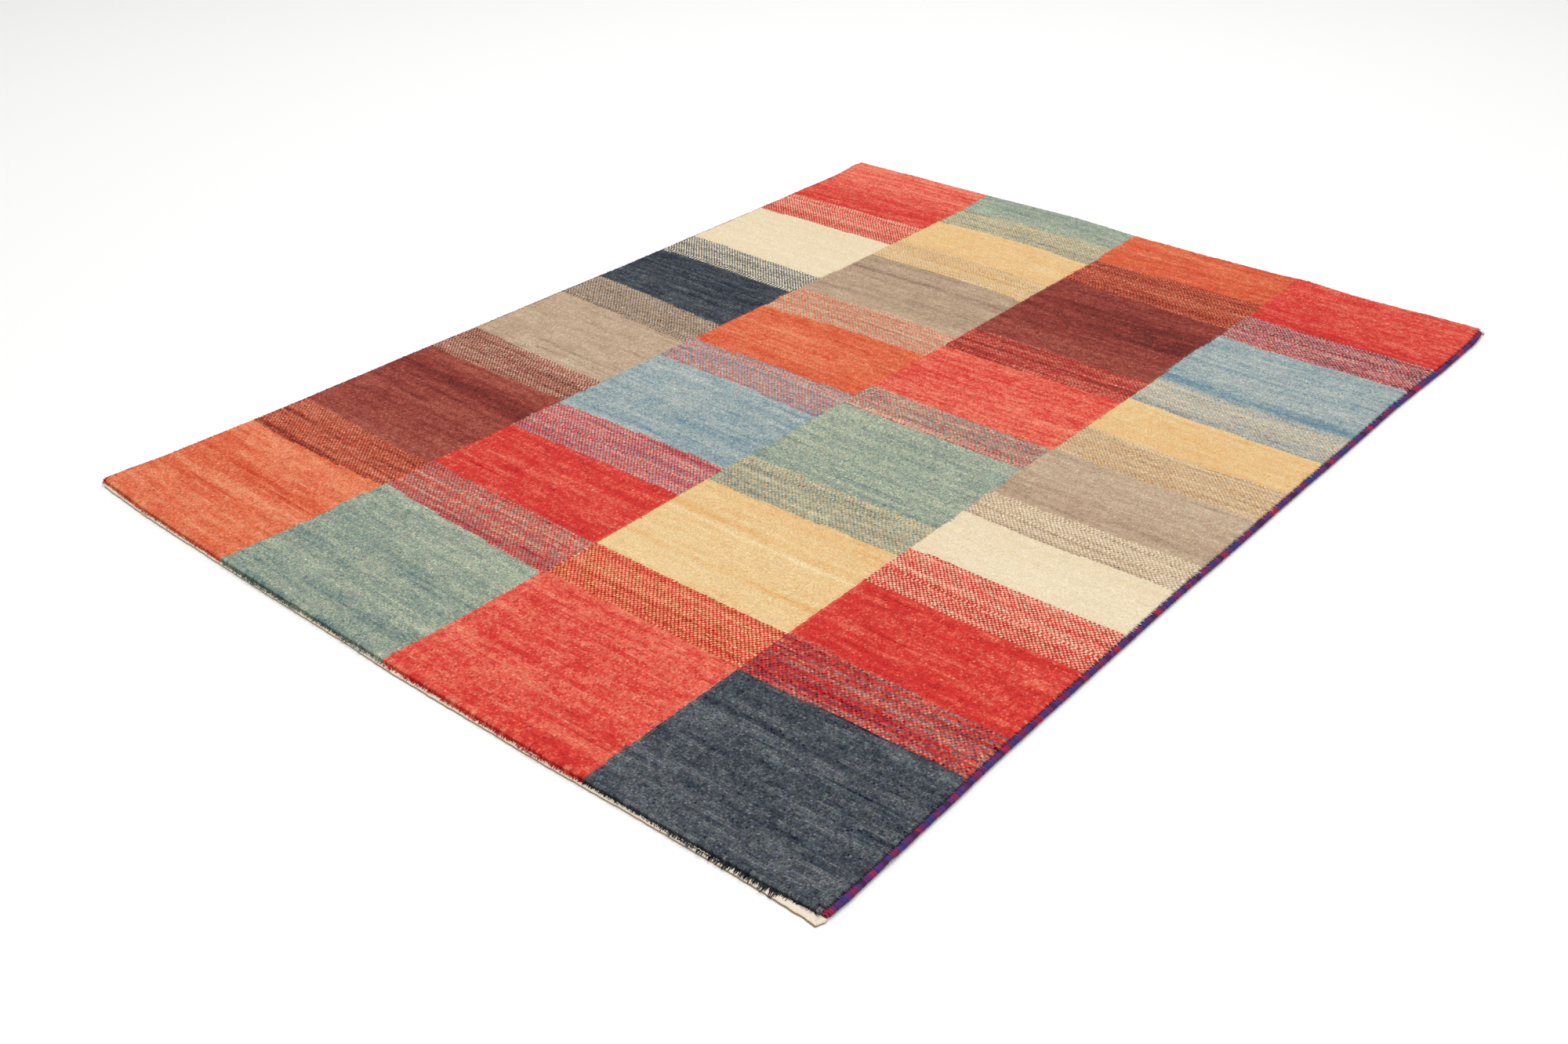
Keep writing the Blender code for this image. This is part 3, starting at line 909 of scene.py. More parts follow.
def build_ground():
    """The cotton ground as a closed body, with the backs of the knots on its underside."""
    across, along = np.meshgrid(np.linspace(0, 1, COLUMNS // 2 + 1), np.linspace(0, 1, ROWS // 2 + 1))
    rows, columns = across.shape
    x, y = weave_place(across, along, GROUND_MARGIN)
    x, y = round_corners(x, y)
    near = np.interp(x, feel_x, near_edge)
    far = np.interp(x, feel_x, far_edge)
    to_end = np.minimum(y - near, far - y)
    over_flap = np.clip((FLAP_REACH + FLAP_EASE - to_end) / FLAP_EASE, 0.0, 1.0)
    bottom = read_heights(floor_heights, across, along) + FLAP_THICKNESS * over_flap
    bottom += ROW_RIPPLE * (1 + np.sin(np.arange(rows) * RIPPLE_TURN))[:, None]
    top = read_heights(top_heights, across, along) - GROUND_DEPTH
    under = np.stack([x, y, bottom], axis=-1).reshape(-1, 3)
    rim = grid_rim(rows, columns)[::-1]
    over = np.stack([x, y, top], axis=-1).reshape(-1, 3)[rim]
    count = len(rim)
    ring = np.arange(count)
    upper = len(under) + ring
    walls = np.stack([rim, np.roll(rim, -1), np.roll(upper, -1), upper], axis=-1)
    quads = np.concatenate([grid_quads(rows, columns)[:, ::-1], walls])
    mesh = bulk_mesh("cotton_ground", np.concatenate([under, over]), quads, [upper])
    grey = np.repeat(screen_colour(*BARE_COTTON)[None], count, axis=0)
    face_colours(mesh, "dye_even", np.concatenate([pair_colours((0, 0), (1, 1)), grey]))
    face_colours(mesh, "dye_odd", np.concatenate([pair_colours((0, 1), (1, 0)), grey]))
    spots = grid_spots(np.arange(columns) * 2.0, np.arange(rows) * 2.0)
    knot_map(mesh, np.concatenate([spots, spots[rim]]))
    return add_object("cotton_ground", mesh)


ground = build_ground()
print(ground.name, "has", len(ground.data.polygons), "faces")


# %% The ground's material
LOOP_ROUNDNESS = 0.5
ROW_ROUNDNESS = 0.4
WEFT_SHARE = 0.42
WEFT_COLOUR = (200, 184, 156)
BACK_FIBRES = 0.7
BEAD_PAINTED_SHADE = 0.45
BEAD_HEIGHT = 1.0 * MM


def build_back():
    """Wool loops in a field of cotton: two loops for each knot, a weft line between the rows, and painted
    shade that darkens each loop towards its sides.
    """
    material, shader = new_yarn("knot_backs")
    tree = material.node_tree
    spot = add_node(tree, "ShaderNodeUVMap", uv_map="knots").outputs[0]
    parts = add_node(tree, "ShaderNodeSeparateXYZ", {0: spot}).outputs
    column = maths(tree, "FLOOR", parts[0])
    row = maths(tree, "FLOOR", parts[1])
    odd = maths(tree, "MODULO", maths(tree, "ADD", column, row), 2.0)
    dye = blended(tree, odd, kept_colour(tree, "dye_even")["Color"], kept_colour(tree, "dye_odd")["Color"])
    loops = maths(tree, "ABSOLUTE", maths(tree, "SINE", maths(tree, "MULTIPLY", parts[0], 2 * math.pi)))
    rows = maths(tree, "ABSOLUTE", maths(tree, "SINE", maths(tree, "MULTIPLY", parts[1], math.pi)))
    loops = maths(tree, "POWER", loops, LOOP_ROUNDNESS)
    bead = maths(tree, "MULTIPLY", loops, maths(tree, "POWER", rows, ROW_ROUNDNESS))
    fibres = fibres_on(tree, dye, PILE_FIBRES, BACK_FIBRES)
    weft = maths(tree, "LESS_THAN", rows, WEFT_SHARE)
    mixed = blended(tree, weft, fibres["Colour"], (*screen_colour(*WEFT_COLOUR), 1.0))
    # Painted shade: each loop is lighter at its crown and darker at its sides and between the rows.
    colour = scaled(tree, mixed, maths(tree, "MULTIPLY_ADD", bead, BEAD_PAINTED_SHADE, 1.0 - BEAD_PAINTED_SHADE))
    finish_yarn(tree, shader, colour, bead, BEAD_HEIGHT, 0.6)
    return material


ground.data.materials.append(build_back())
print("materials on the ground:", [material.name for material in ground.data.materials])

# %% [markdown]
# The ends. Past the last row of knots the weaver goes on with plain cotton weave, then turns it under
# and sews it down, so a fringe isn't needed. From above only the fold shows, as a pale band under the
# pile, with the edge of the turned-under flap as a darker line below it. Both are one section carried
# along the end. The fold is narrow, and widest towards the near right corner.

# %% Cotton bands
# A turn of a section: how far in under the pile it lies, its share of the hem's reach, and its height,
# the first and the last in millimetres.
Turn = namedtuple("Turn", "inward share height")
FOLD_SECTION = (
    Turn(9.0, 0.0, 4.6),
    Turn(0.0, 0.12, 5.3),
    Turn(0.0, 0.45, 4.9),
    Turn(0.0, 0.78, 3.8),
    Turn(0.0, 1.00, 2.3),
    Turn(0.0, 0.96, 1.7),
    Turn(0.0, 0.75, 1.35),
    Turn(9.0, 0.0, 1.3),
)
FLAP_SECTION = (
    Turn(19.0, 0.0, 1.3),
    Turn(0.0, 0.80, 1.35),
    Turn(0.0, 1.04, 1.1),
    Turn(0.0, 1.10, 0.6),
    Turn(0.0, 1.00, 0.1),
    Turn(19.0, 0.0, 0.05),
)
BAND_STEP = 1.815 * MM
WARP_RIB = 0.16 * MM
HEM_WANDER = 0.9 * MM
HEM_RIPPLE = 0.25 * MM
BAND_INSET = 1.5 * MM
# The near right corner of the cotton hangs out in a small tip: how far it goes past the pile and down,
# how far in from the corner its middle lies, and how wide it is on its inner and on its outer side.
CORNER_TIP = 10.0 * MM
CORNER_DROP = 7.5 * MM
TIP_MIDDLE = 6.0 * MM
TIP_INNER = 34.0 * MM
TIP_OUTER = 4.0 * MM
# Both ends of a band narrow to this share, over so much at its left and at its right end.
END_SHARE = 0.25
LEFT_TAPER = 6.0 * MM
RIGHT_TAPER = 4.0 * MM
# Past the pile's corner a band no longer reaches in under it, apart from this share.
PAST_CORNER = 0.12
PAST_EASE = 3.0 * MM
near_hem = feel_end(-1, HEM_HEIGHT)
far_hem = feel_end(1, HEM_HEIGHT)
floor_at_far = floor_heights[-1]


def slow_wave(places, seed, size):
    """A gentle wander along a band, from a few waves that never fall in step."""
    phases = np.random.default_rng(seed).uniform(0, 2 * math.pi, 5)
    waves = [np.sin(places * rate + phase) for rate, phase in zip((21.0, 47.0, 83.0, 171.0, 333.0), phases)]
    return size * np.sum(waves, axis=0) / len(waves)


def closed_section(name, rings):
    """A closed body from rings of points, with both of its ends capped."""
    count, sides = rings.shape[:2]
    first = np.arange(count - 1)[:, None] * sides + np.arange(sides)[None, :]
    after = np.arange(count - 1)[:, None] * sides + (np.arange(sides)[None, :] + 1) % sides
    quads = np.stack([first, after, after + sides, first + sides], axis=-1).reshape(-1, 4)
    caps = [np.arange(sides)[::-1], (count - 1) * sides + np.arange(sides)]
    return bulk_mesh(name, rings.reshape(-1, 3), quads, caps)


def cotton_band(name, sign, section, seed):
    """A band of the near end (sign -1) or of the far end (sign 1)."""
    edge, hem = (near_edge, near_hem) if sign < 0 else (far_edge, far_hem)
    left = left_edge[0 if sign < 0 else -1] + BAND_INSET
    right = right_edge[0 if sign < 0 else -1]
    x = np.arange(left, right + CORNER_TIP, BAND_STEP)
    pile = np.interp(x, feel_x, edge)
    reach = np.abs(np.interp(x, feel_x, hem) - pile) + slow_wave(x, seed, HEM_WANDER)
    rib = WARP_RIB * np.where(np.arange(len(x)) % 2 == 0, 1.0, -1.0)
    lift = np.interp(x, np.linspace(x[0], x[-1], len(floor_at_far)), floor_at_far) * (sign > 0)
    past_tip = x - right - TIP_MIDDLE
    past_tip /= np.where(past_tip < 0, TIP_INNER, TIP_OUTER)
    reach += CORNER_DROP * (sign < 0) * np.exp(-(past_tip**2))
    taper = np.minimum((x - x[0]) / LEFT_TAPER, (x[-1] - x) / RIGHT_TAPER)
    reach *= np.clip(taper, END_SHARE, 1.0)
    inward = np.interp(x, (right - PAST_EASE, right), (1.0, PAST_CORNER))
    ripple = slow_wave(x, seed + 1, HEM_RIPPLE)
    rings = []
    for turn in section:
        out = reach * turn.share + rib * (turn.share > 0) - turn.inward * MM * inward
        height = turn.height * MM + lift + ripple * (turn.height > 1.0)
        rings.append(rows_of_three(x, pile + sign * out, height))
    rings = np.stack(rings if sign < 0 else rings[::-1], axis=1)
    return add_object(name, closed_section(name, rings))


folds = [
    cotton_band("hem_fold_near", -1, FOLD_SECTION, 3),
    cotton_band("hem_fold_far", 1, FOLD_SECTION, 5),
]
flaps = [
    cotton_band("hem_flap_near", -1, FLAP_SECTION, 3),
    cotton_band("hem_flap_far", 1, FLAP_SECTION, 5),
]
print("cotton bands:", [piece.name for piece in folds + flaps])


# %% Cotton
BLOTCH_FINENESS = 160.0
COTTON_FIBRES = 1400.0
COTTON_CONTRAST = 0.9
WEFT_STEP = 1.1 * MM
WEFT_STRENGTH = 0.35
WEAVE_PAINTED_SHADE = 0.07
WEAVE_BUMP = 0.4 * MM


def build_cotton(name, plain, low_colour, low_top):
    """Plain-woven cotton: a rib for each warp, weft threads across them, painted shade in the grooves
    between the threads, and a darker colour near the floor.
    """
    material, shader = new_yarn(name)
    tree = material.node_tree
    place = add_node(tree, "ShaderNodeTexCoord").outputs["Object"]
    parts = add_node(tree, "ShaderNodeSeparateXYZ", {0: place}).outputs
    grain = {"Vector": place, "Scale": BLOTCH_FINENESS, "Detail": 2.0}
    blotches = add_node(tree, "ShaderNodeTexNoise", grain).outputs["Fac"]
    # A darker colour towards the floor, with a blotchy edge.
    level = maths(tree, "MULTIPLY_ADD", blotches, -low_top, parts[2])
    limits = {0: level, 1: 0.0, 2: low_top, 3: 1.0, 4: 0.0}
    share = add_node(tree, "ShaderNodeMapRange", limits).outputs[0]
    base = blended(tree, share, (*screen_colour(*plain), 1.0), (*screen_colour(*low_colour), 1.0))
    fibres = fibres_on(tree, base, COTTON_FIBRES, COTTON_CONTRAST)
    warps = maths(tree, "SINE", maths(tree, "MULTIPLY", parts[0], 2 * math.pi / BAND_STEP))
    down = maths(tree, "ADD", parts[1], parts[2])
    wefts = maths(tree, "SINE", maths(tree, "MULTIPLY", down, 2 * math.pi / WEFT_STEP))
    weave = maths(tree, "MULTIPLY_ADD", wefts, WEFT_STRENGTH, warps)
    # Painted shade: darker in the grooves between the threads, lighter on their crowns.
    light = maths(tree, "MULTIPLY_ADD", weave, WEAVE_PAINTED_SHADE, 1.0 - WEAVE_PAINTED_SHADE)
    height = maths(tree, "ADD", weave, fibres["Height"])
    finish_yarn(tree, shader, scaled(tree, fibres["Colour"], light), height, WEAVE_BUMP, 0.6)
    return material


cotton = build_cotton("hem_cotton", (254, 240, 220), (222, 198, 168), 2.0 * MM)
flap_cotton = build_cotton("flap_cotton", (186, 164, 132), (160, 138, 108), 1.2 * MM)
for fold, flap in zip(folds, flaps):
    fold.data.materials.append(cotton)
    flap.data.materials.append(flap_cotton)
print("cotton materials:", cotton.name, flap_cotton.name)

# %% [markdown]
# Tufts at the rim. At the edge of the pile the tufts have nothing to lean on, so they splay out over
# the hem and over the side cords, and make the edge look ragged. White ends of warp show between them
# in places. Both repeat hundreds of times, so one tree of Geometry Nodes sows them: it puts a small
# tapered tuft on each point of a mesh, points it along the point's own direction, and makes each one
# a little different with a fixed seed.

# %% Parts that both trees share
def new_tree(name, numbers):
    """An empty tree that takes a mesh of points, some numbers, a seed and a material."""
    tree = bpy.data.node_groups.new(name, "GeometryNodeTree")
    sockets = tree.interface
    sockets.new_socket("Points", in_out="INPUT", socket_type="NodeSocketGeometry")
    for key, value in numbers.items():
        sockets.new_socket(key, in_out="INPUT", socket_type="NodeSocketFloat").default_value = value
    sockets.new_socket("Seed", in_out="INPUT", socket_type="NodeSocketInt").default_value = 1
    sockets.new_socket("Material", in_out="INPUT", socket_type="NodeSocketMaterial")
    sockets.new_socket("Mesh", in_out="OUTPUT", socket_type="NodeSocketGeometry")
    return tree, add_node(tree, "NodeGroupInput").outputs


def named(tree, name, kind):
    """Reads an attribute of the points by its name."""
    node = add_node(tree, "GeometryNodeInputNamedAttribute", {"Name": name}, data_type=kind)
    return node.outputs["Attribute"]


def random_vector(tree, given, limit):
    """A vector for each point, with parts that lie between minus and plus a limit."""
    inputs = {0: maths(tree, "MULTIPLY", limit, -1.0), 1: limit, "Seed": given["Seed"]}
    return add_node(tree, "FunctionNodeRandomValue", inputs, data_type="FLOAT_VECTOR").outputs[0]


def set_on_points(tree, given, shape, rotation, size):
    """Sets a turned and sized copy of a shape on every point, as one smooth mesh of one material."""
    points = add_node(tree, "GeometryNodeMeshToPoints", {"Mesh": given["Points"]})
    inputs = {"Points": points.outputs[0], "Instance": shape, "Rotation": rotation, "Scale": size}
    copies = add_node(tree, "GeometryNodeInstanceOnPoints", inputs)
    real = add_node(tree, "GeometryNodeRealizeInstances", {0: copies.outputs[0]})
    smooth = add_node(tree, "GeometryNodeSetShadeSmooth", {0: real.outputs[0]})
    inputs = {"Geometry": smooth.outputs[0], "Material": given["Material"]}
    finished = add_node(tree, "GeometryNodeSetMaterial", inputs)
    add_node(tree, "NodeGroupOutput", {0: finished.outputs[0]})


# %% A Geometry Nodes tree that sows tufts
TUFT_SIDES = 5
TUFT_RINGS = 3


def build_sower():
    """A tree that puts a tapered tuft on each point, along the point's own direction."""
    numbers = {"Thickness": 1.0 * MM, "Tip": 0.3, "Splay": 0.3, "Uneven": 0.3}
    tree, given = new_tree("sow_tufts", numbers)
    shape = {"Vertices": TUFT_SIDES, "Side Segments": TUFT_RINGS, "Depth": 1.0}
    shape.update({"Radius Top": given["Tip"], "Radius Bottom": 1.0})
    tuft = add_node(tree, "GeometryNodeMeshCone", shape)
    splay = random_vector(tree, given, given["Splay"])
    leaning = vector_maths(tree, "ADD", named(tree, "lean", "FLOAT_VECTOR"), splay)
    aim = add_node(tree, "FunctionNodeAlignRotationToVector", {"Vector": leaning}, axis="Z")
    smallest = maths(tree, "SUBTRACT", 1.0, given["Uneven"])
    largest = maths(tree, "ADD", 1.0, given["Uneven"])
    inputs = {2: smallest, 3: largest, "Seed": given["Seed"]}
    uneven = add_node(tree, "FunctionNodeRandomValue", inputs, data_type="FLOAT").outputs[1]
    thick = maths(tree, "MULTIPLY", given["Thickness"], uneven)
    long = maths(tree, "MULTIPLY", named(tree, "length", "FLOAT"), uneven)
    size = add_node(tree, "ShaderNodeCombineXYZ", {0: thick, 1: thick, 2: long})
    set_on_points(tree, given, tuft.outputs[0], aim.outputs[0], size.outputs[0])
    return tree


sower = build_sower()
print("tree", sower.name, "has", len(sower.nodes), "nodes")


# %% Baking a tree
def points_mesh(name, places, attributes):
    """A mesh of loose points with named attributes, for a tree to work on."""
    mesh = bpy.data.meshes.new(name)
    mesh.vertices.add(len(places))
    mesh.vertices.foreach_set("co", np.asarray(places, np.float32).ravel())
    for key, values in attributes.items():
        values = np.asarray(values, np.float32)
        kind = {1: "FLOAT", 3: "FLOAT_VECTOR", 4: "FLOAT_COLOR"}[1 if values.ndim == 1 else values.shape[1]]
        field = {"FLOAT": "value", "FLOAT_VECTOR": "vector", "FLOAT_COLOR": "color"}[kind]
        mesh.attributes.new(key, kind, "POINT").data.foreach_set(field, values.ravel())
    return mesh


TIP_GAP = 0.1 * MM


def bake_tree(name, tree, mesh, inputs):
    """Runs a tree on a mesh of points, and keeps its result as a plain mesh."""
    source = add_object(name + "_points", mesh)
    modifier = source.modifiers.new(tree.name, "NODES")
    modifier.node_group = tree
    sockets = {item.name: item.identifier for item in tree.interface.items_tree if item.in_out == "INPUT"}
    for key, value in inputs.items():
        modifier[sockets[key]] = value
    graph = bpy.context.evaluated_depsgraph_get()
    result = bpy.data.meshes.new_from_object(source.evaluated_get(graph))
    result.name = name
    for vertex in result.vertices:
        vertex.co.z = max(vertex.co.z, TIP_GAP)  # a tip that would pass the floor lies on it
    bpy.data.objects.remove(source)
    return add_object(name, result)


def with_alpha(colours):
    """Colours with the alpha that a mesh keeps with them."""
    return np.concatenate([colours, np.ones((len(colours), 1))], axis=1)


# %% Wool seen from its side
YARN_FIBRES = 1500.0
YARN_CONTRAST = 1.2
YARN_BUMP = 0.5 * MM


def build_tuft_wool(name, gain):
    """The same wool as the pile's, seen from the side of the yarn."""
    material, shader = new_yarn(name)
    tree = material.node_tree
    fibres = fibres_on(tree, kept_colour(tree, "dye")["Color"], YARN_FIBRES, YARN_CONTRAST)
    colour = scaled(tree, fibres["Colour"], gain)
    finish_yarn(tree, shader, colour, fibres["Height"], YARN_BUMP, 0.5)
    return material


tuft_wool = build_tuft_wool("tuft_wool", 0.95)
print("material", tuft_wool.name, "is ready")

# %% Tufts along the ends
END_SIZES = {"Thickness": 0.72 * MM, "Tip": 0.5, "Splay": 0.3, "Uneven": 0.35}
NEAR_STRANDS = 6
FAR_STRANDS = 4
END_JITTER = 0.4 * MM
END_INSET = 0.6 * MM
END_HEIGHTS = (6.2, 7.9)
END_LENGTHS = (2.5, 3.6)
END_SPREAD = 0.25
END_DROOP = -0.5
END_WAVE = 0.25
# The colour of a cut end is raised to this power, which darkens and deepens it as painted shade under the
# pile's edge. Each end is then scaled by a random amount from a range, mostly darker, as painted shade; the
# ends of the last block, from this share of the width on, are the darkest.
ENDS_SHADE_POWER = 1.35
LIGHT_ENDS = (0.7, 1.1)
SHADED_LAST_ENDS = (0.4, 0.8)
SHADED_FROM = 0.75
# How long the strands of the near end are, by their share of the width: long over the last block, and
# short where the cotton shows at the corner.
LOOSE_ENDS = (
    (0.0, 0.23, 0.26, 0.48, 0.52, 0.74, 0.8, 0.84, 0.88, 0.93, 0.955, 0.968, 0.98, 1.0),
    (1.25, 1.25, 1.6, 1.5, 1.5, 1.6, 1.25, 1.5, 2.0, 2.6, 2.8, 2.2, 1.1, 0.7),
)
Tufts = namedtuple("Tufts", "places lean length colours")


def end_tufts(sign, dice):
    """Tufts that hang over the hem at the near end (sign -1) or at the far end (sign 1)."""
    edge, row = (near_edge, 0) if sign < 0 else (far_edge, ROWS - 1)
    strands = NEAR_STRANDS if sign < 0 else FAR_STRANDS
    count = COLUMNS * strands
    strand = np.arange(count)
    share = (strand + 0.5) / count
    left = left_edge[0 if sign < 0 else -1]
    right = right_edge[0 if sign < 0 else -1]
    x = left + (right - left) * share + dice.normal(0, END_JITTER, count)
    y = np.interp(x, feel_x, edge) - sign * END_INSET
    lift = np.interp(share, np.linspace(0, 1, len(floor_at_far)), floor_at_far) * (sign > 0)
    z = dice.uniform(*END_HEIGHTS, count) * MM + lift
    lean = rows_of_three(dice.normal(0, END_SPREAD, count), sign * 1.0, END_DROOP)
    loose = np.interp(share, *LOOSE_ENDS) if sign < 0 else 1.0
    length = dice.uniform(*END_LENGTHS, count) * MM * loose * (1.0 + slow_wave(x, 8, END_WAVE))
    # Painted shade under the pile's edge: each end's colour is scaled by a random amount, mostly darker,
    # and the last block's ends are the darkest.
    dark = dice.uniform(*SHADED_LAST_ENDS, count)
    light = dice.uniform(*LIGHT_ENDS, count)
    shade = np.where(share > SHADED_FROM, dark, light)
    colours = knots[row, strand // strands] ** ENDS_SHADE_POWER * shade[:, None]
    return Tufts(rows_of_three(x, y, z), lean, length, colours)


# %% Tufts along the sides
SIDE_SIZES = {"Thickness": 1.05 * MM, "Tip": 0.25, "Splay": 0.12, "Uneven": 0.3}
SIDE_MARGIN = 4 * RIM_WIDTH
SIDE_JITTER = 0.4 * MM
SIDE_INSET = 2.0 * MM
SIDE_DEPTH = 0.9 * MM
SIDE_UNEVEN = 0.2 * MM
# How far a tuft leans along the side, and how far up: the middle and the spread of each.
SIDE_ALONG = (0.15, 0.2)
SIDE_UP = (-0.10, 0.08)
SIDE_LENGTHS = (3.6, 6.6)
SIDE_SHADES = (0.8, 1.05)


def side_tufts(sign, dice):
    """Tufts that lean over the cord of the left side (sign -1) or of the right side (sign 1)."""
    edge, column = (left_edge, 0) if sign < 0 else (right_edge, COLUMNS - 1)
    row = np.arange(2, ROWS - 2)
    count = len(row)
    share = (row + 0.5) / ROWS
    y = low.y + SIDE_MARGIN + (high.y - low.y - 2 * SIDE_MARGIN) * share
    y = y + dice.normal(0, SIDE_JITTER, count)
    x = np.interp(y, feel_y, edge) - sign * SIDE_INSET
    side_heights = top_heights[:, -1 if sign > 0 else 0]
    top = np.interp(share, np.linspace(0, 1, len(side_heights)), side_heights)
    z = top - SIDE_DEPTH + dice.normal(0, SIDE_UNEVEN, count)
    lean = rows_of_three(sign * 1.0, dice.normal(*SIDE_ALONG, count), dice.normal(*SIDE_UP, count))
    length = dice.uniform(*SIDE_LENGTHS, count) * MM
    colours = knots[row, column] * dice.uniform(*SIDE_SHADES, (count, 1))
    return Tufts(rows_of_three(x, y, z), lean, length, colours)


# %% Warp ends between the tufts
WARP_SIZES = {"Thickness": 0.58 * MM, "Tip": 0.7, "Splay": 0.2, "Uneven": 0.25}
WARP_CHANCE = 0.05
WARP_CLUSTERS = ((0.10, 0.02), (0.31, 0.02), (0.47, 0.025), (0.55, 0.015), (0.70, 0.02))
CLUSTER_CHANCE = 0.45
LAST_BLOCK_FROM = COLUMN_SHARES[2]
LAST_BLOCK_CHANCE = 0.25
BURST_CHANCE = 1.1
BURST_RATE = 1.5
WARP_OUTSET = 3.0 * MM
WARP_HEIGHTS = (4.4, 6.2)
WARP_LENGTHS = (2.0, 3.2)
WARP_SPREAD = 0.08
WARP_LEAN = 0.45
WARP_COLOUR = (236, 228, 212)
WARP_SHADES = (0.75, 1.0)


def warp_ends(sign, dice):
    """White ends of warp at the near end: a few everywhere, and many under the dark last block."""
    warp = np.arange(2 * COLUMNS)
    share = (warp + 0.5) / len(warp)
    likely = np.full(len(share), WARP_CHANCE)
    for middle, width in WARP_CLUSTERS:
        likely += CLUSTER_CHANCE * np.exp(-(((share - middle) / width) ** 2))
    bursts = slow_wave(share * BURST_RATE, 9, 1.0) + slow_wave(share * BURST_RATE, 10, 1.0)
    in_bursts = LAST_BLOCK_CHANCE + BURST_CHANCE * np.clip(bursts, -0.2, 1.0)
    likely = np.where(share > LAST_BLOCK_FROM, in_bursts, likely)
    share = share[dice.random(len(warp)) < likely]
    count = len(share)
    x = left_edge[0] + (right_edge[0] - left_edge[0]) * share
    y = np.interp(x, feel_x, near_edge) + sign * WARP_OUTSET
    z = dice.uniform(*WARP_HEIGHTS, count) * MM
    lean = rows_of_three(dice.normal(0, WARP_SPREAD, count), sign * WARP_LEAN, 1.0)
    length = dice.uniform(*WARP_LENGTHS, count) * MM
    colours = screen_colour(*WARP_COLOUR) * dice.uniform(*WARP_SHADES, (count, 1))
    return Tufts(rows_of_three(x, y, z), lean, length, colours)


# %% Sow them all
sown_pieces = []
for name, make, tuft_sizes, sign, seed in (
    ("tufts_near", end_tufts, END_SIZES, -1, 21),
    ("tufts_far", end_tufts, END_SIZES, 1, 22),
    ("tufts_left", side_tufts, SIDE_SIZES, -1, 23),
    ("tufts_right", side_tufts, SIDE_SIZES, 1, 24),
    ("warp_ends", warp_ends, WARP_SIZES, -1, 31),
):
    tufts = make(sign, np.random.default_rng(seed))
    attributes = {"lean": tufts.lean, "length": tufts.length, "dye": with_alpha(tufts.colours)}
    mesh = points_mesh(name, tufts.places, attributes)
    piece = bake_tree(name, sower, mesh, dict(tuft_sizes, Seed=seed, Material=tuft_wool))
    sown_pieces.append(piece)
    print(name, "has", len(tufts.places), "tufts and", len(piece.data.polygons), "faces")

# %% [markdown]
# The overcast sides. Along each long side the outermost warps are bundled, and wool yarn is wound
# round them, turn by turn, in a few dyes that change every centimetre or two. A second tree winds the
# yarn: one ring for each turn, set across the cord, a little slanted, and as wide and as tall as the
# CAD cord is at that place. A plain core fills the bundle inside.

# %% A tree that winds yarn
RING_ROUND = 0.30
RING_SIDES = 12
YARN_SIDES = 5


def build_winder():
    """A tree that sets one ring of yarn on each point, across the cord and a little slanted."""
    tree, given = new_tree("wind_yarn", {"Yarn width": 3.5 * MM, "Slant": 0.2, "Uneven": 0.05})
    circle = "GeometryNodeCurvePrimitiveCircle"
    path = add_node(tree, circle, {"Resolution": RING_SIDES, "Radius": 1.0 - RING_ROUND}).outputs[0]
    yarn = add_node(tree, circle, {"Resolution": YARN_SIDES, "Radius": RING_ROUND}).outputs[0]
    ring = add_node(tree, "GeometryNodeCurveToMesh", {"Curve": path, "Profile Curve": yarn}).outputs[0]
    inputs = {"Geometry": ring, "Rotation": (math.pi / 2, 0, 0)}
    upright = add_node(tree, "GeometryNodeTransform", inputs).outputs[0]
    heading = maths(tree, "ADD", named(tree, "heading", "FLOAT"), given["Slant"])
    straight = add_node(tree, "ShaderNodeCombineXYZ", {2: heading}).outputs[0]
    angles = vector_maths(tree, "ADD", straight, random_vector(tree, given, given["Uneven"]))
    turned = add_node(tree, "FunctionNodeEulerToRotation", {0: angles}).outputs[0]
    wide = named(tree, "half_width", "FLOAT")
    along = maths(tree, "DIVIDE", maths(tree, "MULTIPLY", given["Yarn width"], 0.5), RING_ROUND)
    tall = named(tree, "half_height", "FLOAT")
    size = add_node(tree, "ShaderNodeCombineXYZ", {0: wide, 1: along, 2: tall}).outputs[0]
    set_on_points(tree, given, upright, turned, size)
    return tree


winder = build_winder()
print("tree", winder.name, "has", len(winder.nodes), "nodes")

# %% The cords' lines and dyes
CordDye = namedtuple("CordDye", "name colour")
CORD_DYES = (
    CordDye("plum", (104, 50, 108)),
    CordDye("violet", (84, 54, 118)),
    CordDye("crimson", (158, 44, 80)),
    CordDye("aubergine", (78, 40, 84)),
    CordDye("violet_blue", (66, 60, 124)),
    CordDye("plum_red", (128, 46, 92)),
)
DYE_ORDER = (2, 0, 1, 4, 0, 5, 1, 3, 0, 2, 1, 0, 3, 1, 5, 0, 4, 1, 0, 3)
TURN_PITCH = 3.3 * MM
TURN_JITTER = 0.15 * MM
TURN_SWELL = (0.94, 1.06)
LAST_TURN = 0.72
# How many turns one dye lasts, on the near half of a cord and on its far half.
NEAR_STRETCH = (2, 5)
FAR_STRETCH = (3, 9)
TURN_SHADES = (0.85, 1.12)
CORD_OVERLAP = 2.4 * MM
Turns = namedtuple("Turns", "places heading half_width half_height colours")


def cord_rings(node):
    """The CAD cord's rings, from the near end on: y, middle x, width, lowest and highest point."""
    corners = np.array([vertex.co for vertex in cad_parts[node].data.vertices])
    rings = []
    for y in np.unique(np.round(corners[:, 1], 5)):
        ring = corners[np.abs(corners[:, 1] - y) < 2e-5]
        left, right = ring[:, 0].min(), ring[:, 0].max()
        rings.append((y, (left + right) / 2, right - left, ring[:, 2].min(), ring[:, 2].max()))
    return np.array(rings)


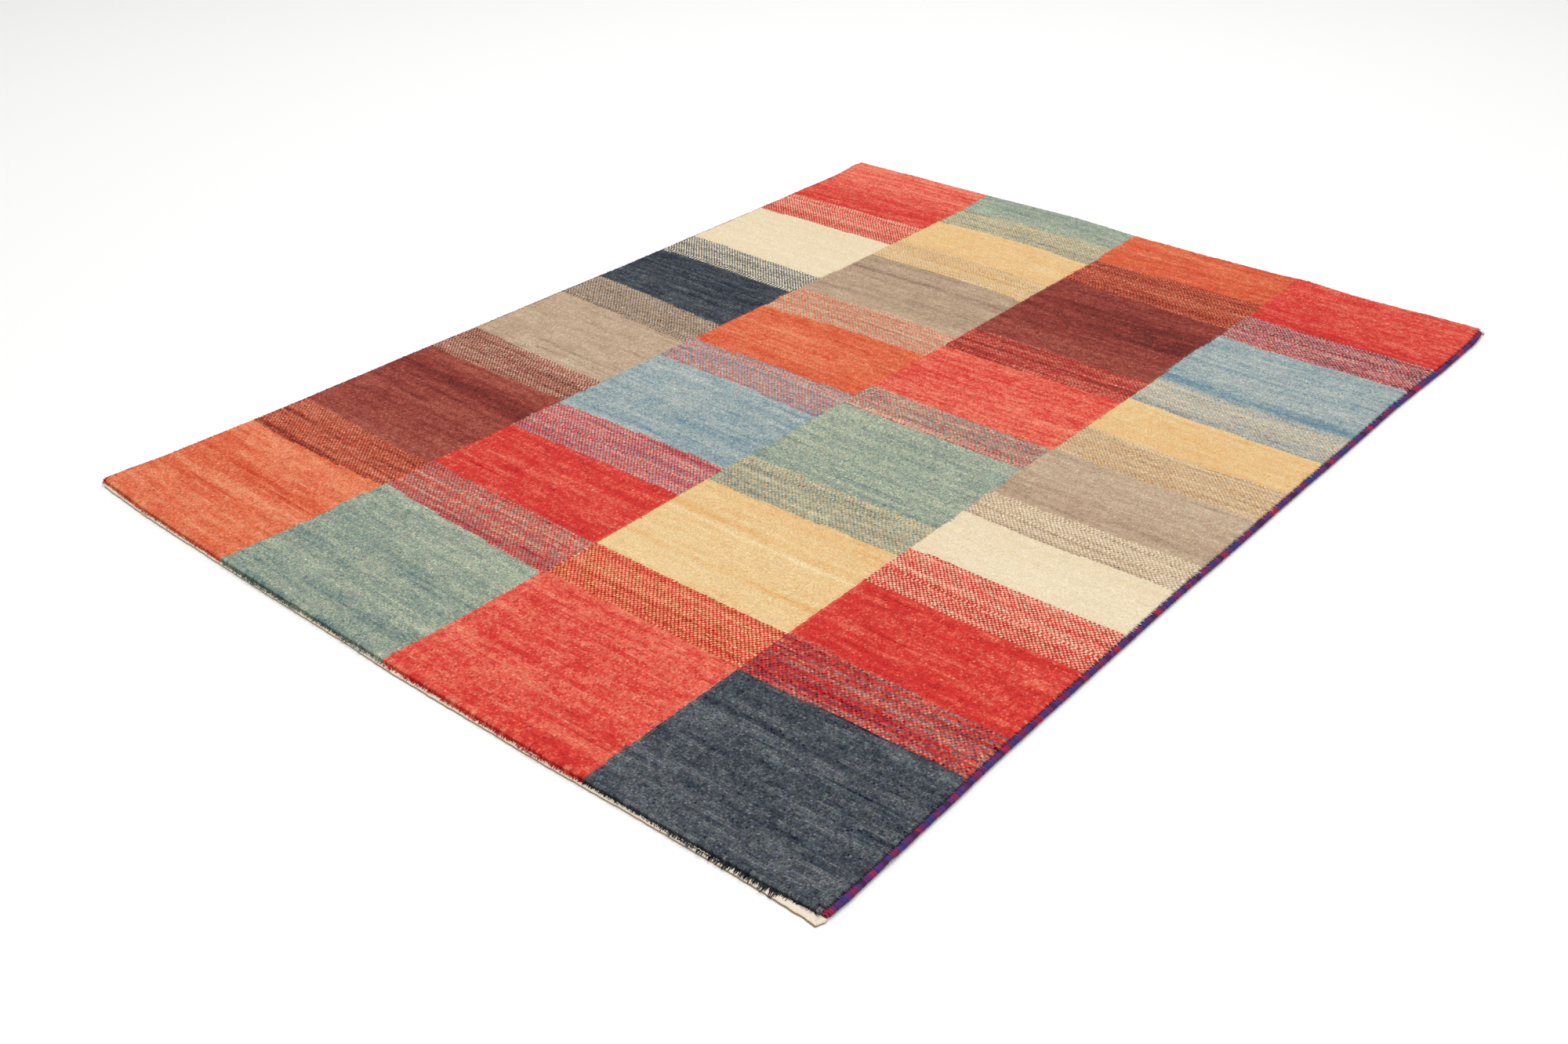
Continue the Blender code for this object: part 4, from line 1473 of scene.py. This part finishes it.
def cord_turns(node, dice):
    """Every turn of yarn on one cord: its place, its heading, its size and its colour."""
    rings = cord_rings(node)
    count = int((rings[-1, 0] - rings[0, 0]) / TURN_PITCH)
    y = rings[0, 0] + TURN_PITCH * (np.arange(count) + 0.5)
    y = y + dice.normal(0, TURN_JITTER, count)
    x, width, bottom, top = (np.interp(y, rings[:, 0], rings[:, k]) for k in (1, 2, 3, 4))
    heading = -np.arctan(np.gradient(x, y))
    swell = dice.uniform(*TURN_SWELL, count)
    swell[[0, -1]] *= LAST_TURN
    colours = np.zeros((count, 3))
    turn = 0
    dye = 0
    while turn < count:
        stretch = int(dice.integers(*(NEAR_STRETCH if y[turn] < 0 else FAR_STRETCH)))
        cord_dye = CORD_DYES[DYE_ORDER[dye % len(DYE_ORDER)]]
        colours[turn:turn + stretch] = screen_colour(*cord_dye.colour)
        dye += 1
        turn += stretch
    colours *= dice.uniform(*TURN_SHADES, (count, 1))
    inward = -1.0 if x.mean() > 0 else 1.0
    places = rows_of_three(x + inward * CORD_OVERLAP / 2, y, (bottom + top) / 2)
    half_width = (width + CORD_OVERLAP) / 2 * swell
    half_height = (top - bottom) / 2 * swell
    return Turns(places, heading, half_width, half_height, colours)


# %% The cords' cores
CORE_SIDES = 10
CORE_SHARE = 0.78
CORE_COLOUR = (70, 32, 60)
cord_wool = build_tuft_wool("cord_wool", 1.0)


def cord_core(name, turns):
    """The plain bundle inside a cord, as a closed tube through the turns."""
    angles = np.linspace(0, 2 * math.pi, CORE_SIDES, endpoint=False)
    round_x = CORE_SHARE * turns.half_width[:, None] * np.cos(angles)
    round_z = CORE_SHARE * turns.half_height[:, None] * np.sin(angles)
    tube = turns.places[:, None, :] + rows_of_three(round_x, 0.0, round_z)
    core = add_object(name, closed_section(name, tube[:, ::-1]))
    colours = np.repeat(screen_colour(*CORE_COLOUR)[None], len(core.data.polygons), axis=0)
    face_colours(core.data, "dye", colours)
    core.data.materials.append(cord_wool)
    return core


# %% Wind both cords
YARN_SIZES = {"Yarn width": 1.45 * TURN_PITCH, "Slant": 0.5, "Uneven": 0.06}
cores = []
cords = []
for side, seed in (("left", 41), ("right", 42)):
    node = "selvedge_" + side
    turns = cord_turns(node, np.random.default_rng(seed))
    attributes = {
        "heading": turns.heading,
        "half_width": turns.half_width,
        "half_height": turns.half_height,
        "dye": with_alpha(turns.colours),
    }
    mesh = points_mesh(node, turns.places, attributes)
    cord = bake_tree(node + "_yarn", winder, mesh, dict(YARN_SIZES, Seed=seed, Material=cord_wool))
    cords.append(cord)
    core = cord_core(node + "_core", turns)
    cores.append(core)
    print(cord.name, "has", len(turns.places), "turns and", len(cord.data.polygons), "faces")

# %% [markdown]
# Last, everything is said to ride on the rug's one body. The ground is the sheet of cloth: the pile,
# the hems and the tufts are all on it. It was woven a little longer than it is now, because both ends
# are turned under.

# %% Let every piece ride on the rug
hem_pieces = folds + flaps
for piece in pile_columns + sown_pieces:
    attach(piece, "root")
for piece in [ground] + hem_pieces:
    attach(piece, "root")
for piece in cords + cores:
    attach(piece, "root")
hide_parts("rug")
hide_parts("selvedge_left")
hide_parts("selvedge_right")
